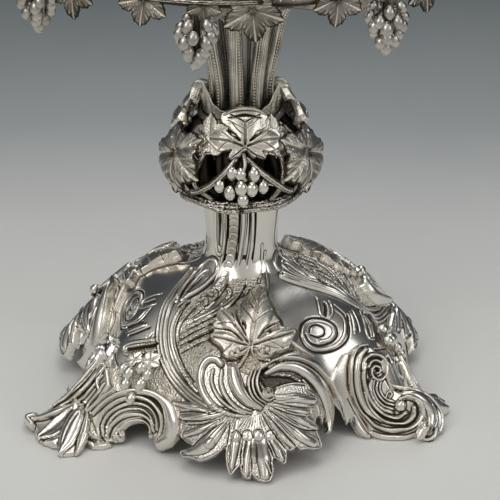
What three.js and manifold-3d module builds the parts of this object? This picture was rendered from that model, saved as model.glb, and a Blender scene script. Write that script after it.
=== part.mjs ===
// A silver comport: a cast and chased foot on three scrolls, a vine knop, eight vine stems that
// spread under a ring hung with leaves and grapes, and a glass dish that lifts out.
// Millimetres, +Z up. The origin is on the axis at floor level. A bearing is measured in degrees
// from the front (-Y) towards +X, so a positive turn about Z adds to a bearing.
import * as THREE from "three";
import { mergeVertices } from "three/addons/utils/BufferGeometryUtils.js";
import Module from "manifold-3d";

const wasm = await Module();
wasm.setup();

// Counts and bearings
const PANELS = 3;
const PANEL_STEP = 360 / PANELS;
const FOOT_BEARING = 60;
const STEMS = 8;
const STEM_STEP = 360 / STEMS;
const FIRST_STEM = -55;

// Clearances
const SEAT_GAP = 0.3;
const CHORD_ALLOWANCE = 0.35;
const HUB_ROOM = 1;
const GRAPE_FACET_DROP = 1;
const WELD = 0.03;

// Foot dome with its neck
const DOME_WALL = 1.6;
const NECK_RADIUS = 20;
const NECK_TOP = 112;
const NECK_BOTTOM = 79;
const FLARE_RADIUS = 28;
const FLARE_HEIGHT = 72;
const SHOULDER_RADIUS = 54;
const SHOULDER_HEIGHT = 61;
const HAUNCH_RADIUS = 81;
const HAUNCH_HEIGHT = 37;
const RIM_RADIUS = 102;
const RIM_HEIGHT = 9;
const HORN_WAIST_DEPTH = 0.21;
const ARCH_WAIST_DEPTH = 0.17;
const HORN_WAIST_OFFSET = -20;
const ARCH_WAIST_OFFSET = 29;
const WAIST_HALF_WIDTH = 25;
const WAIST_EASE = 1.3;

// Scroll feet and their leaves
const FOOT_REACH = 120;
const FOOT_PAD_RADIUS = 4.2;
const PAD_TRIM = 2;
const SCROLL_RADIUS = 6.2;
const SCROLL_EYE_RADIUS = 4.5;
const ARCH_RADIUS = 4.6;
const TOE_LEAF_RADIUS = 5.4;
const TOE_LEAF_REACH = FOOT_REACH - 2;

// Panel mounts
const SHELL_REACH = 109;
const SHELL_CENTRE_RADIUS = 82;
const SHELL_THICKNESS = 3;
const CREST_RADIUS = 3.2;
const CREST_EYE_RADIUS = 3;
const PANEL_LEAF_SIZE = 22;
const PANEL_LEAF_RADIUS = 50;
const PANEL_LEAF_BEARING = 3;
const PANEL_GRAPE_RADIUS = 2.7;
const PANEL_BUNCH_RADIUS = 75;
const PANEL_BUNCH_OFFSET = 15;
const GRAPE_PITCH_SHARE = 1.5;
const GRAPE_STRETCH = 1.1;
const PANEL_LEAF_SINK = 0.8;
const LEAF_THICKNESS = 1.3;
const LEAF_NOTCH_SHARE = 0.55;
const LEAF_STALK_SHARE = 0.2;
const LEAF_TIP_HALF_ANGLE = 8;

// Knop
const STRAND_RADIUS = 1.7;
const KNOP_RING_RADIUS = 29;
const KNOP_RING_RISE = 7;
const KNOP_BELLY_RADIUS = 38;
const KNOP_COLLAR_RADIUS = 21.5;
const KNOP_HEIGHT = 50;
const KNOP_CORE_RADIUS = 12;
const KNOP_CORE_WALL = 2;
const KNOP_LEAF_SIZE = 20.5;
const UPPER_LEAF_DROP = 8;
const KNOP_LEAF_STAND = 1;
const HANGING_LEAF_RISE = 34;
const KNOP_GRAPE_RADIUS = 3.6;
const KNOP_GRAPE_RISE = 24;
const CALYX_WALL = 1.4;
const CALYX_FLARE = 3.5;
const CALYX_HEIGHT = 20;
const CALYX_TIP = 15;

// Vine stems and the ring that they carry
const STEM_RADIUS = 3.9;
const STEM_END_RADIUS = 2.8;
const STEM_BUNDLE_RADIUS = 13.4;
const STEM_STRAIGHT = 9;
const STEM_MIDDLE_RADIUS = 16.2;
const STEM_SPREAD_RADIUS = 24;
const STEM_SPREAD_DROP = 40;
const STEM_TIP_LENGTH = 8;
const STEM_SEAT_WALL = 3;
const RING_RADIUS = 114;
const RING_TUBE = 2.6;
const RING_HEIGHT = 262;
const RIM_LEAF_SIZE = 16;
const BUNCH_LENGTH = 33;
const BUNCH_RADIUS = 9.6;
const BUNCH_GRAPE_RADIUS = 4.8;
const BUNCH_OFFSET = 5.5;
const STALK_RADIUS = 1.2;
const TWIG_RADIUS = 1.5;
const SPRAY_SPREAD = 12.5;
const RIM_LEAF_DROP = 24;
const SMALL_LEAF_SHARE = 0.8;
const SMALL_LEAF_DROP_SHARE = 0.62;

// Glass dish
const DISH_RADIUS = 132;
const DISH_RISE = 28;
const DISH_WALL = 3.6;
const DISH_FLOOR_RADIUS = 34;
const DISH_FLOOR_DROP = 20;
const DISH_LOWER_RADIUS = 62;
const DISH_LOWER_RISE = 4.5;
const DISH_MIDDLE_RADIUS = 88;
const DISH_MIDDLE_RISE = 12.5;
const DISH_SIDE_RADIUS = 126;
const DISH_SIDE_RISE = 15;

// Tie rod and its fastenings
const ROD_RADIUS = 3;
const ROD_CLEARANCE = 0.4;
const PLATE_THICKNESS = 2.4;
const PLATE_RISE = 6;
const HUB_HEIGHT = 8;
const HUB_SKIRT = 4;
const HUB_CROWN = 2;
const WASHER_RADIUS = 9;
const WASHER_THICKNESS = 1.6;
const NUT_ACROSS = 12;
const NUT_HEIGHT = 6;
const ROD_TAIL = 4;

// Heights that follow from the sizes above
const STEM_SPREAD_HEIGHT = RING_HEIGHT - STEM_SPREAD_DROP;
const DISH_HEIGHT = RING_HEIGHT + DISH_RISE;
const KNOP_BOTTOM = NECK_TOP + SEAT_GAP;
const KNOP_TOP = KNOP_BOTTOM + KNOP_HEIGHT;
const SEAT_BOTTOM = KNOP_TOP + SEAT_GAP;
const STEM_BOTTOM = SEAT_BOTTOM + STEM_SEAT_WALL + SEAT_GAP;
const HUB_BOTTOM = STEM_SPREAD_HEIGHT - HUB_HEIGHT;

const DOME_STEPS = 45;

const radians = THREE.MathUtils.degToRad;

function polar(bearing, radius, height) {
  const angle = radians(bearing);
  return new THREE.Vector3(radius * Math.sin(angle), -radius * Math.cos(angle), height);
}

// A closed solid from rings of points. A loop of rings closes on itself, and an open run is capped.
function skin(rings, loops = false, centres = []) {
  const count = rings[0].length;
  const points = rings.flat();
  const faces = [];
  const last = loops ? rings.length : rings.length - 1;
  for (let ring = 0; ring < last; ring++) {
    const near = ring * count;
    const far = ((ring + 1) % rings.length) * count;
    for (let side = 0; side < count; side++) {
      const next = (side + 1) % count;
      faces.push(near + side, near + next, far + next, near + side, far + next, far + side);
    }
  }
  if (!loops) {
    for (const [ring, turned] of [[0, true], [rings.length - 1, false]]) {
      const centre = points.length;
      const mean = new THREE.Vector3();
      rings[ring].forEach((point) => mean.addScaledVector(point, 1 / count));
      points.push((turned ? centres[0] : centres[1]) ?? mean);
      for (let side = 0; side < count; side++) {
        const a = ring * count + side;
        const b = ring * count + ((side + 1) % count);
        faces.push(centre, turned ? b : a, turned ? a : b);
      }
    }
  }
  const geometry = new THREE.BufferGeometry().setFromPoints(points);
  geometry.setIndex(faces);
  return solid(geometry);
}

// A three.js geometry as a solid for joins and cuts, with its faces turned outwards.
function solid(geometry) {
  const bare = geometry.clone();
  bare.deleteAttribute("normal");
  bare.deleteAttribute("uv");
  const merged = mergeVertices(bare, 1e-4);
  const vertProperties = new Float32Array(merged.attributes.position.array);
  const triVerts = new Uint32Array(merged.index.array);
  const made = new wasm.Manifold(new wasm.Mesh({ numProp: 3, vertProperties, triVerts }));
  if (made.volume() >= 0) return made;
  for (let i = 0; i < triVerts.length; i += 3) {
    [triVerts[i + 1], triVerts[i + 2]] = [triVerts[i + 2], triVerts[i + 1]];
  }
  return new wasm.Manifold(new wasm.Mesh({ numProp: 3, vertProperties, triVerts }));
}

function joined(solids) {
  return solids.reduce((all, one) => all.add(one));
}

// The solid with corners that lie closer than the weld joined into one, and the slivers between
// them left out.
function welded(made) {
  const geometry = geometryOf(made);
  const position = geometry.getAttribute("position");
  const kept = [];
  const indexOf = [];
  for (let vertex = 0; vertex < position.count; vertex++) {
    const point = new THREE.Vector3().fromBufferAttribute(position, vertex);
    const near = kept.findIndex((other) => other.distanceTo(point) < WELD);
    indexOf.push(near < 0 ? kept.push(point) - 1 : near);
  }
  const faces = [];
  for (let i = 0; i < geometry.index.count; i += 3) {
    const [a, b, c] = [0, 1, 2].map((corner) => indexOf[geometry.index.getX(i + corner)]);
    if (a !== b && b !== c && c !== a) faces.push(a, b, c);
  }
  const merged = new THREE.BufferGeometry().setFromPoints(kept);
  merged.setIndex(faces);
  return solid(merged);
}

function geometryOf(made) {
  const mesh = made.getMesh();
  const position = new Float32Array(mesh.numVert * 3);
  for (let vertex = 0; vertex < mesh.numVert; vertex++) {
    const start = vertex * mesh.numProp;
    position.set(mesh.vertProperties.subarray(start, start + 3), vertex * 3);
  }
  const geometry = new THREE.BufferGeometry();
  geometry.setAttribute("position", new THREE.BufferAttribute(position, 3));
  geometry.setIndex(new THREE.BufferAttribute(new Uint32Array(mesh.triVerts), 1));
  geometry.computeVertexNormals();
  return geometry;
}

// A round bar along a smooth line through the points, with a radius that eases from end to end.
function bar(points, radii, steps, sides) {
  const line = new THREE.CatmullRomCurve3(points);
  const frames = line.computeFrenetFrames(steps, false);
  const rings = [];
  for (let step = 0; step <= steps; step++) {
    const along = step / steps;
    const place = along * (radii.length - 1);
    const from = Math.min(Math.floor(place), radii.length - 2);
    const radius = THREE.MathUtils.lerp(radii[from], radii[from + 1], place - from);
    const centre = line.getPointAt(along);
    const ring = [];
    for (let side = 0; side < sides; side++) {
      const angle = (2 * Math.PI * side) / sides;
      ring.push(
        centre
          .clone()
          .addScaledVector(frames.normals[step], radius * Math.cos(angle))
          .addScaledVector(frames.binormals[step], radius * Math.sin(angle)),
      );
    }
    rings.push(ring);
  }
  return skin(rings);
}

function ball(centre, radius, stretch = 1, sides = 6, rings = 3) {
  const geometry = new THREE.SphereGeometry(radius, sides, rings);
  geometry.rotateX(Math.PI / 2);
  geometry.scale(1, 1, stretch);
  geometry.translate(centre.x, centre.y, centre.z);
  return solid(geometry);
}

// A turned solid from a profile of [radius, height] pairs that starts and ends on the axis,
// or closes on itself.
function turned(profile, segments) {
  const points = profile.map(([radius, height]) => new THREE.Vector2(radius, height));
  const geometry = new THREE.LatheGeometry(points, segments);
  geometry.rotateX(Math.PI / 2);
  return solid(geometry);
}

function tubeProfile(inner, outer, bottom, top) {
  return [[inner, bottom], [outer, bottom], [outer, top], [inner, top], [inner, bottom]];
}

// The dome's line from the neck to the rim, as [radius, height] in the plane of a panel
const DOME_LINE = new THREE.CatmullRomCurve3(
  [
    [NECK_RADIUS, NECK_TOP],
    [NECK_RADIUS, NECK_BOTTOM],
    [FLARE_RADIUS, FLARE_HEIGHT],
    [SHOULDER_RADIUS, SHOULDER_HEIGHT],
    [HAUNCH_RADIUS, HAUNCH_HEIGHT],
    [RIM_RADIUS, RIM_HEIGHT],
  ].map(([radius, height]) => new THREE.Vector3(radius, height, 0)),
);

function dip(bearing, centre) {
  const away = THREE.MathUtils.euclideanModulo(bearing - centre + PANEL_STEP / 2, PANEL_STEP);
  const offset = Math.abs(away - PANEL_STEP / 2);
  if (offset > WAIST_HALF_WIDTH) return 0;
  return 0.5 + 0.5 * Math.cos((Math.PI * offset) / WAIST_HALF_WIDTH);
}

// How much of the full radius the plan keeps at a bearing: less at the two waists beside each foot.
function planShare(bearing, radius) {
  const weight = THREE.MathUtils.clamp((radius - FLARE_RADIUS) / (RIM_RADIUS - FLARE_RADIUS), 0, 1);
  const drawn =
    HORN_WAIST_DEPTH * dip(bearing, FOOT_BEARING + HORN_WAIST_OFFSET) +
    ARCH_WAIST_DEPTH * dip(bearing, FOOT_BEARING + ARCH_WAIST_OFFSET);
  return 1 - drawn * weight ** WAIST_EASE;
}

// A point over the dome's face, where along counts the knots of the dome's line.
function domePoint(bearing, along, lift) {
  const share = along / (DOME_LINE.points.length - 1);
  const point = DOME_LINE.getPoint(share);
  const tangent = DOME_LINE.getTangent(share);
  const radius = point.x - tangent.y * lift;
  const height = point.y + tangent.x * lift;
  return polar(bearing, radius * planShare(bearing, point.x), height);
}

// The height of the dome's outer face, or of its skirt carried on past the rim, at a plan radius.
function domeHeight(bearing, radius) {
  const SAMPLES = 60;
  let before = null;
  for (let i = 0; i <= SAMPLES; i++) {
    const point = DOME_LINE.getPointAt(i / SAMPLES);
    const reach = point.x * planShare(bearing, point.x);
    if (before && reach >= radius && reach > before.reach) {
      const share = Math.max(0, (radius - before.reach) / (reach - before.reach));
      return THREE.MathUtils.lerp(before.height, point.y, share);
    }
    before = { reach, height: point.y };
  }
  const RUN_OUT_SLOPE = 0.8;
  return Math.max(RIM_HEIGHT - (radius - before.reach) * RUN_OUT_SLOPE, 1);
}

function onDome(bearing, radius, lift) {
  return polar(bearing, radius, domeHeight(bearing, radius) + lift);
}

const OUTER_STATIONS = [0, 1, 1.5, 2, 2.5, 3, 3.5, 4, 4.5, 5];
const INNER_STATIONS = [5, 4, 3, 2, 1, 0];

function domeRing(along, lift) {
  const ring = [];
  for (let step = 0; step < DOME_STEPS; step++) {
    ring.push(domePoint((360 * step) / DOME_STEPS, along, lift));
  }
  return ring;
}

function footDome() {
  const outer = OUTER_STATIONS.map((along) => domeRing(along, 0));
  const inner = INNER_STATIONS.map((along) => domeRing(along, -DOME_WALL));
  return skin([...outer, ...inner], true);
}

// The room that the dome takes, with its clearance and the space under it, which mounts keep out of.
const DOME_ROOM = skin([
  ...OUTER_STATIONS.map((along) => domeRing(along, SEAT_GAP)),
  domeRing(OUTER_STATIONS.at(-1), SEAT_GAP).map((point) => new THREE.Vector3(point.x, point.y, -1)),
]);

// The room above the floor, wide enough for the whole comport
const ROOM_SIZE = 2 * (DISH_RADIUS + DISH_HEIGHT);
const ABOVE_FLOOR = solid(
  new THREE.BoxGeometry(ROOM_SIZE, ROOM_SIZE, ROOM_SIZE).translate(0, 0, ROOM_SIZE / 2),
);

function seatedOnDome(made) {
  return made.subtract(DOME_ROOM).intersect(ABOVE_FLOOR);
}

// The largest body of a trimmed solid: a trim can leave a crumb behind.
function mainBody(made) {
  return welded(made.decompose().sort((a, b) => b.volume() - a.volume())[0]);
}

// Scroll foot: an S scroll down the foot's flank that curls up round an eye, and a bulb that comes
// down to the toe and is trimmed flat at the floor as the foot's pad.
function scrollFoot() {
  const foot = FOOT_BEARING;
  const reach = FOOT_REACH - FOOT_PAD_RADIUS;
  const body = bar(
    [
      onDome(foot + 1, 77, 3),
      onDome(foot + 4, 71, 3),
      onDome(foot - 1, 65, 3),
      onDome(foot - 9, 69, 3),
      onDome(foot - 13, 80, 3),
      polar(foot - 14, 92, 9),
      polar(foot - 9, 105, 7),
      polar(foot - 2, 111, 10),
      polar(foot + 3, 108, 18),
      polar(foot, 102, 23),
    ],
    [3, 4, 5, 5.8, SCROLL_RADIUS, SCROLL_RADIUS, SCROLL_RADIUS, 5.4, 5, 4],
    18,
    6,
  );
  const bulb = bar(
    [
      onDome(foot - 2, 96, 3),
      polar(foot + 2, 104, 19),
      polar(foot + 1, reach - 2, 13),
      polar(foot - 4, reach, 5),
      polar(foot - 4, reach, -PAD_TRIM),
    ],
    [6, 8, 7.5, FOOT_PAD_RADIUS],
    6,
    6,
  );
  const eye = ball(polar(foot - 4, 98, 17), SCROLL_EYE_RADIUS, 1, 6, 4);
  return mainBody(seatedOnDome(joined([body, bulb, eye, ...toeLeaves()])));
}

// Arch scroll: a C scroll that leaps the gap beside the foot.
function archScroll() {
  const foot = FOOT_BEARING;
  const arch = bar(
    [
      polar(foot + 23.5, 95, 5),
      polar(foot + 19, 96, 7),
      polar(foot + 16, 92, 15),
      onDome(foot + 18, 84, 2),
      onDome(foot + 25, 80, 2),
      onDome(foot + 31, 82, 2),
      polar(foot + 34, 88, 13),
      polar(foot + 33, 90, 3.5),
    ],
    [2.6, 3.6, ARCH_RADIUS, ARCH_RADIUS, ARCH_RADIUS, 4.8, 4.8, 3],
    14,
    6,
  );
  return mainBody(seatedOnDome(arch));
}

// Toe leaves: acanthus lobes that spread over the floor beside the scroll
function toeLeaves() {
  const foot = FOOT_BEARING;
  const root = onDome(foot + 8, 90, 3);
  const tips = [
    [foot + 5, TOE_LEAF_REACH, 4],
    [foot + 11, TOE_LEAF_REACH, 2.2],
    [foot + 17, TOE_LEAF_REACH - 5, 2],
  ];
  return tips.map(([bearing, reach, height]) =>
    bar(
      [root, polar((bearing + foot + 8) / 2, 105, 12), polar(bearing, reach, height)],
      [4, TOE_LEAF_RADIUS, 1.8],
      4,
      6,
    ),
  );
}

// A sheet laid over a surface. The outline is a list of [right, up] points about the centre, and
// place(right, up, lift) gives the point at that height over the surface. A sheet on a tight
// curve is bent between its edge and its centre too.
function sheet(outline, place, rise, underside, thickness, bent = true) {
  const MID = 0.5;
  const ring = (share, lift) =>
    outline.map(([right, up]) => place(right * share, up * share, lift));
  const top = underside + thickness;
  const edge = [ring(1, underside), ring(1, top)];
  const rings = bent ? [ring(MID, underside), ...edge, ring(MID, top + rise)] : edge;
  return skin(rings, false, [place(0, 0, underside), place(0, 0, top + rise * 0.7)]);
}

// Shell fan under each panel: ribs that end in scallops at the floor.
function shellFan() {
  const NOTCH = 8;
  const LOBE_HALF_ANGLE = 2;
  const SINK = 1.2;
  const centreBearing = 5;
  const tips = [
    [-16, 92],
    [-6, 102],
    [4, SHELL_REACH],
    [13, SHELL_REACH - 2],
    [22, 104],
    [29, 92],
  ];
  const outline = tips.flatMap(([bearing, reach], index) => {
    const lobe = [
      [bearing - LOBE_HALF_ANGLE, reach - 1],
      [bearing + LOBE_HALF_ANGLE, reach - 1],
    ];
    const following = tips[index + 1];
    if (following) {
      lobe.push([(bearing + following[0]) / 2, (reach + following[1]) / 2 - NOTCH]);
    }
    return lobe;
  });
  outline.push([28, 76], [10, 73], [-18, 78]);
  const ring = (share, lift) =>
    outline.map(([bearing, reach]) =>
      onDome(
        THREE.MathUtils.lerp(centreBearing, bearing, share),
        THREE.MathUtils.lerp(SHELL_CENTRE_RADIUS, reach, share),
        lift,
      ),
    );
  const top = SHELL_THICKNESS;
  return skin([ring(0.5, -SINK), ring(1, -SINK), ring(1, top), ring(0.5, top)]);
}

// Crest over each shell: a C scroll that runs out as a horn, and flutes that wind into its eye.
function crestScroll() {
  const lift = SHELL_THICKNESS + CREST_RADIUS * 0.6;
  const horn = bar(
    [
      onDome(8, 84, lift),
      onDome(0, 78, lift),
      onDome(3, 68, lift),
      onDome(13, 62, lift),
      onDome(24, 68, lift),
      onDome(31, 77, lift),
      polar(32, 86, 9),
    ],
    [2, 2.6, CREST_RADIUS, CREST_RADIUS, CREST_RADIUS, CREST_RADIUS, 1.6],
    10,
    5,
  );
  const flutes = [0, 1].map((turn) =>
    bar(
      [
        onDome(-12 + 9 * turn, 62 + 2 * turn, lift),
        onDome(-19 + 9 * turn, 72, lift),
        onDome(-13 + 7 * turn, 85 - 4 * turn, lift),
        onDome(-1 + 2 * turn, 91 - 5 * turn, lift),
        onDome(7, 86 - turn, lift),
      ],
      [2, CREST_RADIUS, CREST_RADIUS, CREST_RADIUS, 2],
      5,
      4,
    ),
  );
  const eye = ball(onDome(8, 84, lift + 1), CREST_EYE_RADIUS, 1, 6, 4);
  return [horn, ...flutes, eye];
}

function shellMount() {
  return mainBody(seatedOnDome(joined([shellFan(), ...crestScroll()])));
}

// A five-lobed vine leaf outline, as [right, up] points, with its longest lobe pointing up
function vineLeaf(size) {
  const lobes = [
    [90, 1],
    [30, 0.95],
    [-34, 0.8],
    [-146, 0.8],
    [150, 0.95],
  ];
  const at = (angle, length) => [
    size * length * Math.cos(radians(angle)),
    size * length * Math.sin(radians(angle)),
  ];
  return lobes.flatMap(([angle, length], index) => {
    const notch = index === 2 ? at(-90, LEAF_STALK_SHARE) : at(angle - 30, LEAF_NOTCH_SHARE);
    const [near, far] = [LEAF_TIP_HALF_ANGLE, -LEAF_TIP_HALF_ANGLE];
    return [at(angle + near, length), at(angle + far, length), notch];
  });
}

function panelLeaf() {
  const place = (right, up, lift) => {
    const radius = PANEL_LEAF_RADIUS - up * 0.85;
    const bearing = PANEL_LEAF_BEARING + THREE.MathUtils.radToDeg(right / radius);
    return onDome(bearing, radius, lift);
  };
  const outline = vineLeaf(PANEL_LEAF_SIZE);
  const thickness = LEAF_THICKNESS + 2 * PANEL_LEAF_SINK;
  return mainBody(seatedOnDome(sheet(outline, place, 1.2, -PANEL_LEAF_SINK, thickness)));
}

// Rows of grapes as [up, right, right, ...], in steps of one grape's pitch
function grapeRows(rows, radius, put) {
  const pitch = radius * GRAPE_PITCH_SHARE;
  const grapes = rows.flatMap(([up, ...across]) =>
    across.map((right) => ball(put(right * pitch, up * pitch), radius, GRAPE_STRETCH, 5, 3)),
  );
  return joined(grapes);
}

// Grapes over each arch, laid on the dome as a bunch that points down
function panelGrapes() {
  const put = (right, up) => {
    const radius = PANEL_BUNCH_RADIUS - up;
    const centre = FOOT_BEARING + PANEL_BUNCH_OFFSET;
    const bearing = centre + THREE.MathUtils.radToDeg(right / radius);
    return onDome(bearing, radius, PANEL_GRAPE_RADIUS);
  };
  const rows = [
    [0.8, -0.9, 0, 0.9],
    [0, -0.45, 0.45],
    [-0.8, 0],
  ];
  return mainBody(seatedOnDome(grapeRows(rows, PANEL_GRAPE_RADIUS, put)));
}

// The knop's barrel line from its lower ring to its collar, as a radius at a height
const KNOP_LINE = new THREE.CatmullRomCurve3(
  [
    [KNOP_RING_RADIUS, KNOP_BOTTOM + KNOP_RING_RISE],
    [KNOP_BELLY_RADIUS - 1.5, KNOP_BOTTOM + KNOP_HEIGHT * 0.33],
    [KNOP_BELLY_RADIUS, KNOP_BOTTOM + KNOP_HEIGHT * 0.5],
    [KNOP_BELLY_RADIUS - 4, KNOP_BOTTOM + KNOP_HEIGHT * 0.72],
    [KNOP_COLLAR_RADIUS, KNOP_TOP - STRAND_RADIUS],
  ].map(([radius, height]) => new THREE.Vector3(radius, height, 0)),
);

function knopRadius(height) {
  const SAMPLES = 40;
  let before = KNOP_LINE.getPointAt(0);
  for (let i = 1; i <= SAMPLES; i++) {
    const point = KNOP_LINE.getPointAt(i / SAMPLES);
    if (point.y >= height) {
      const share = Math.max(0, (height - before.y) / (point.y - before.y));
      return THREE.MathUtils.lerp(before.x, point.x, share);
    }
    before = point;
  }
  return KNOP_COLLAR_RADIUS;
}

function onKnop(bearing, height, lift) {
  return polar(bearing, knopRadius(height) + lift, height);
}

// Openwork basket: a shallow cup on the neck's end and a collar, joined by vine strands that lean
// in turn
function knopBasket() {
  const STRANDS = 4 * PANELS;
  const LEAN = 13;
  const bore = KNOP_CORE_RADIUS + SEAT_GAP;
  const lip = KNOP_RING_RADIUS + STRAND_RADIUS;
  const brim = KNOP_BOTTOM + KNOP_RING_RISE;
  const cup = turned(
    [
      [bore, KNOP_BOTTOM],
      [NECK_RADIUS, KNOP_BOTTOM],
      [lip, brim - STRAND_RADIUS],
      [lip, brim],
      [KNOP_RING_RADIUS - STRAND_RADIUS, brim],
      [NECK_RADIUS - STRAND_RADIUS, KNOP_BOTTOM + STRAND_RADIUS],
      [bore, KNOP_BOTTOM + STRAND_RADIUS],
      [bore, KNOP_BOTTOM],
    ],
    16,
  );
  const collar = new THREE.TorusGeometry(KNOP_COLLAR_RADIUS, STRAND_RADIUS, 4, 16);
  collar.translate(0, 0, KNOP_TOP - STRAND_RADIUS);
  const strands = Array.from({ length: STRANDS }, (_, index) => {
    const lean = index % 2 ? -LEAN : LEAN;
    const start = (360 * index) / STRANDS;
    const points = [0, 0.33, 0.66, 1].map((share) => {
      const point = KNOP_LINE.getPointAt(share);
      return polar(start + lean * (2 * share - 1), point.x, point.y);
    });
    return bar(points, [STRAND_RADIUS, STRAND_RADIUS], 4, 4);
  });
  return joined([cup, solid(collar), ...strands]);
}

function knopCore() {
  const inner = KNOP_CORE_RADIUS - KNOP_CORE_WALL;
  return turned(tubeProfile(inner, KNOP_CORE_RADIUS, KNOP_BOTTOM, KNOP_TOP), 16);
}

// A knop leaf. Pointing is 1 for a leaf whose long lobe points up, and -1 for one that hangs.
// Seat is how far its underside lies outside the strands' centre line.
function knopLeaf(bearing, height, pointing, seat) {
  const CURL = 0.014;
  const place = (right, up, lift) => {
    const z = Math.max(height + pointing * up, KNOP_BOTTOM);
    const radius = knopRadius(z) + lift + CURL * Math.max(0, up) ** 2;
    return polar(bearing + THREE.MathUtils.radToDeg((pointing * right) / radius), radius, z);
  };
  return sheet(vineLeaf(KNOP_LEAF_SIZE), place, 0.8, seat, LEAF_THICKNESS);
}

function knopGrapes() {
  const lift = STRAND_RADIUS + SEAT_GAP + KNOP_GRAPE_RADIUS - GRAPE_FACET_DROP;
  const put = (right, up) => {
    const height = KNOP_BOTTOM + KNOP_GRAPE_RISE + up;
    const bearing = THREE.MathUtils.radToDeg(right / (knopRadius(height) + lift));
    return onKnop(bearing, height, lift);
  };
  const rows = [
    [0.9, -1, 0, 1],
    [0, -0.5, 0.5],
    [-0.9, 0],
  ];
  return grapeRows(rows, KNOP_GRAPE_RADIUS, put);
}

// Calyx: a low collar with one tall leaf tip over each foot, seated on the knop's collar round the
// stems' foot
function calyx() {
  const STEPS = PANELS * 6;
  const inner = STEM_BUNDLE_RADIUS + STEM_RADIUS + SEAT_GAP + CHORD_ALLOWANCE;
  const ring = (radius, height, open) => {
    const points = [];
    for (let step = 0; step < STEPS; step++) {
      const share = 1 - Math.abs(((step / STEPS) * PANELS) % 1 - 0.5) * 2;
      const rise = open * share;
      points.push(polar((360 * step) / STEPS, radius + CALYX_FLARE * rise, height + CALYX_TIP * rise));
    }
    return points;
  };
  const rim = SEAT_BOTTOM + CALYX_HEIGHT - CALYX_TIP;
  const waist = (SEAT_BOTTOM + rim) / 2;
  return skin(
    [
      ring(inner + CALYX_WALL, SEAT_BOTTOM, 0),
      ring(inner + CALYX_WALL, waist, 0),
      ring(inner + CALYX_WALL, rim, 1),
      ring(inner, rim, 1),
      ring(inner, waist, 0),
      ring(inner, SEAT_BOTTOM, 0),
    ],
    true,
  );
}

// The plate that the eight stems stand on
function stemSeat() {
  const bore = ROD_RADIUS + ROD_CLEARANCE;
  const radius = STEM_BUNDLE_RADIUS + STEM_RADIUS;
  return turned(tubeProfile(bore, radius, SEAT_BOTTOM, SEAT_BOTTOM + STEM_SEAT_WALL), 20);
}

const RING_APPROACH = new THREE.Vector3(0.62, 0.78, 0).normalize();

// One vine stem from its seat up the bundle and out under the ring, at bearing 0
function vineStem() {
  const end = new THREE.Vector3(RING_RADIUS, RING_HEIGHT, 0).addScaledVector(
    RING_APPROACH,
    -(RING_TUBE + SEAT_GAP),
  );
  const outward = (share) => THREE.MathUtils.lerp(STEM_SPREAD_RADIUS, end.x, share);
  const upward = (share) => THREE.MathUtils.lerp(STEM_SPREAD_HEIGHT, end.y, share);
  const line = [
    [STEM_BUNDLE_RADIUS, STEM_BOTTOM],
    [STEM_BUNDLE_RADIUS, STEM_BOTTOM + STEM_STRAIGHT],
    [STEM_MIDDLE_RADIUS, THREE.MathUtils.lerp(STEM_BOTTOM, STEM_SPREAD_HEIGHT, 0.5)],
    [STEM_SPREAD_RADIUS, STEM_SPREAD_HEIGHT],
    [outward(0.16), upward(0.27)],
    [outward(0.45), upward(0.45)],
    [outward(0.8), upward(0.66)],
    [end.x - RING_APPROACH.x * STEM_TIP_LENGTH, end.y - RING_APPROACH.y * STEM_TIP_LENGTH],
    [end.x, end.y],
  ];
  const points = line.map(([radius, height]) => polar(0, radius, height));
  const radii = [STEM_RADIUS, STEM_RADIUS, STEM_RADIUS, STEM_END_RADIUS + 0.6, STEM_END_RADIUS];
  return bar(points, radii, 11, 6);
}

function bowlRing() {
  const geometry = new THREE.TorusGeometry(RING_RADIUS, RING_TUBE, 5, 40);
  geometry.translate(0, 0, RING_HEIGHT);
  return solid(geometry);
}

// Two vine leaves on a twig that lie against the outside of the ring, one each side of a bunch
function leafSpray() {
  const outside = RING_RADIUS + RING_TUBE + SEAT_GAP + CHORD_ALLOWANCE;
  const FLARE = 0.16;
  const hung = (bearing, size, tip) => {
    const place = (right, up, lift) => {
      const height = tip + size - up;
      const flare = FLARE * Math.max(0, RING_HEIGHT - height);
      const radius = outside + flare + lift;
      return polar(bearing + THREE.MathUtils.radToDeg(right / radius), radius, height);
    };
    return sheet(vineLeaf(size), place, 1.6, 0, LEAF_THICKNESS, false);
  };
  const twig = bar(
    [-10, 0, 10].map((bearing) => polar(bearing, outside + TWIG_RADIUS, RING_HEIGHT + 1.5)),
    [TWIG_RADIUS, TWIG_RADIUS],
    3,
    4,
  );
  return joined([
    twig,
    hung(
      -SPRAY_SPREAD,
      RIM_LEAF_SIZE * SMALL_LEAF_SHARE,
      RING_HEIGHT - RIM_LEAF_DROP * SMALL_LEAF_DROP_SHARE,
    ),
    hung(SPRAY_SPREAD, RIM_LEAF_SIZE, RING_HEIGHT - RIM_LEAF_DROP),
  ]);
}

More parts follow.
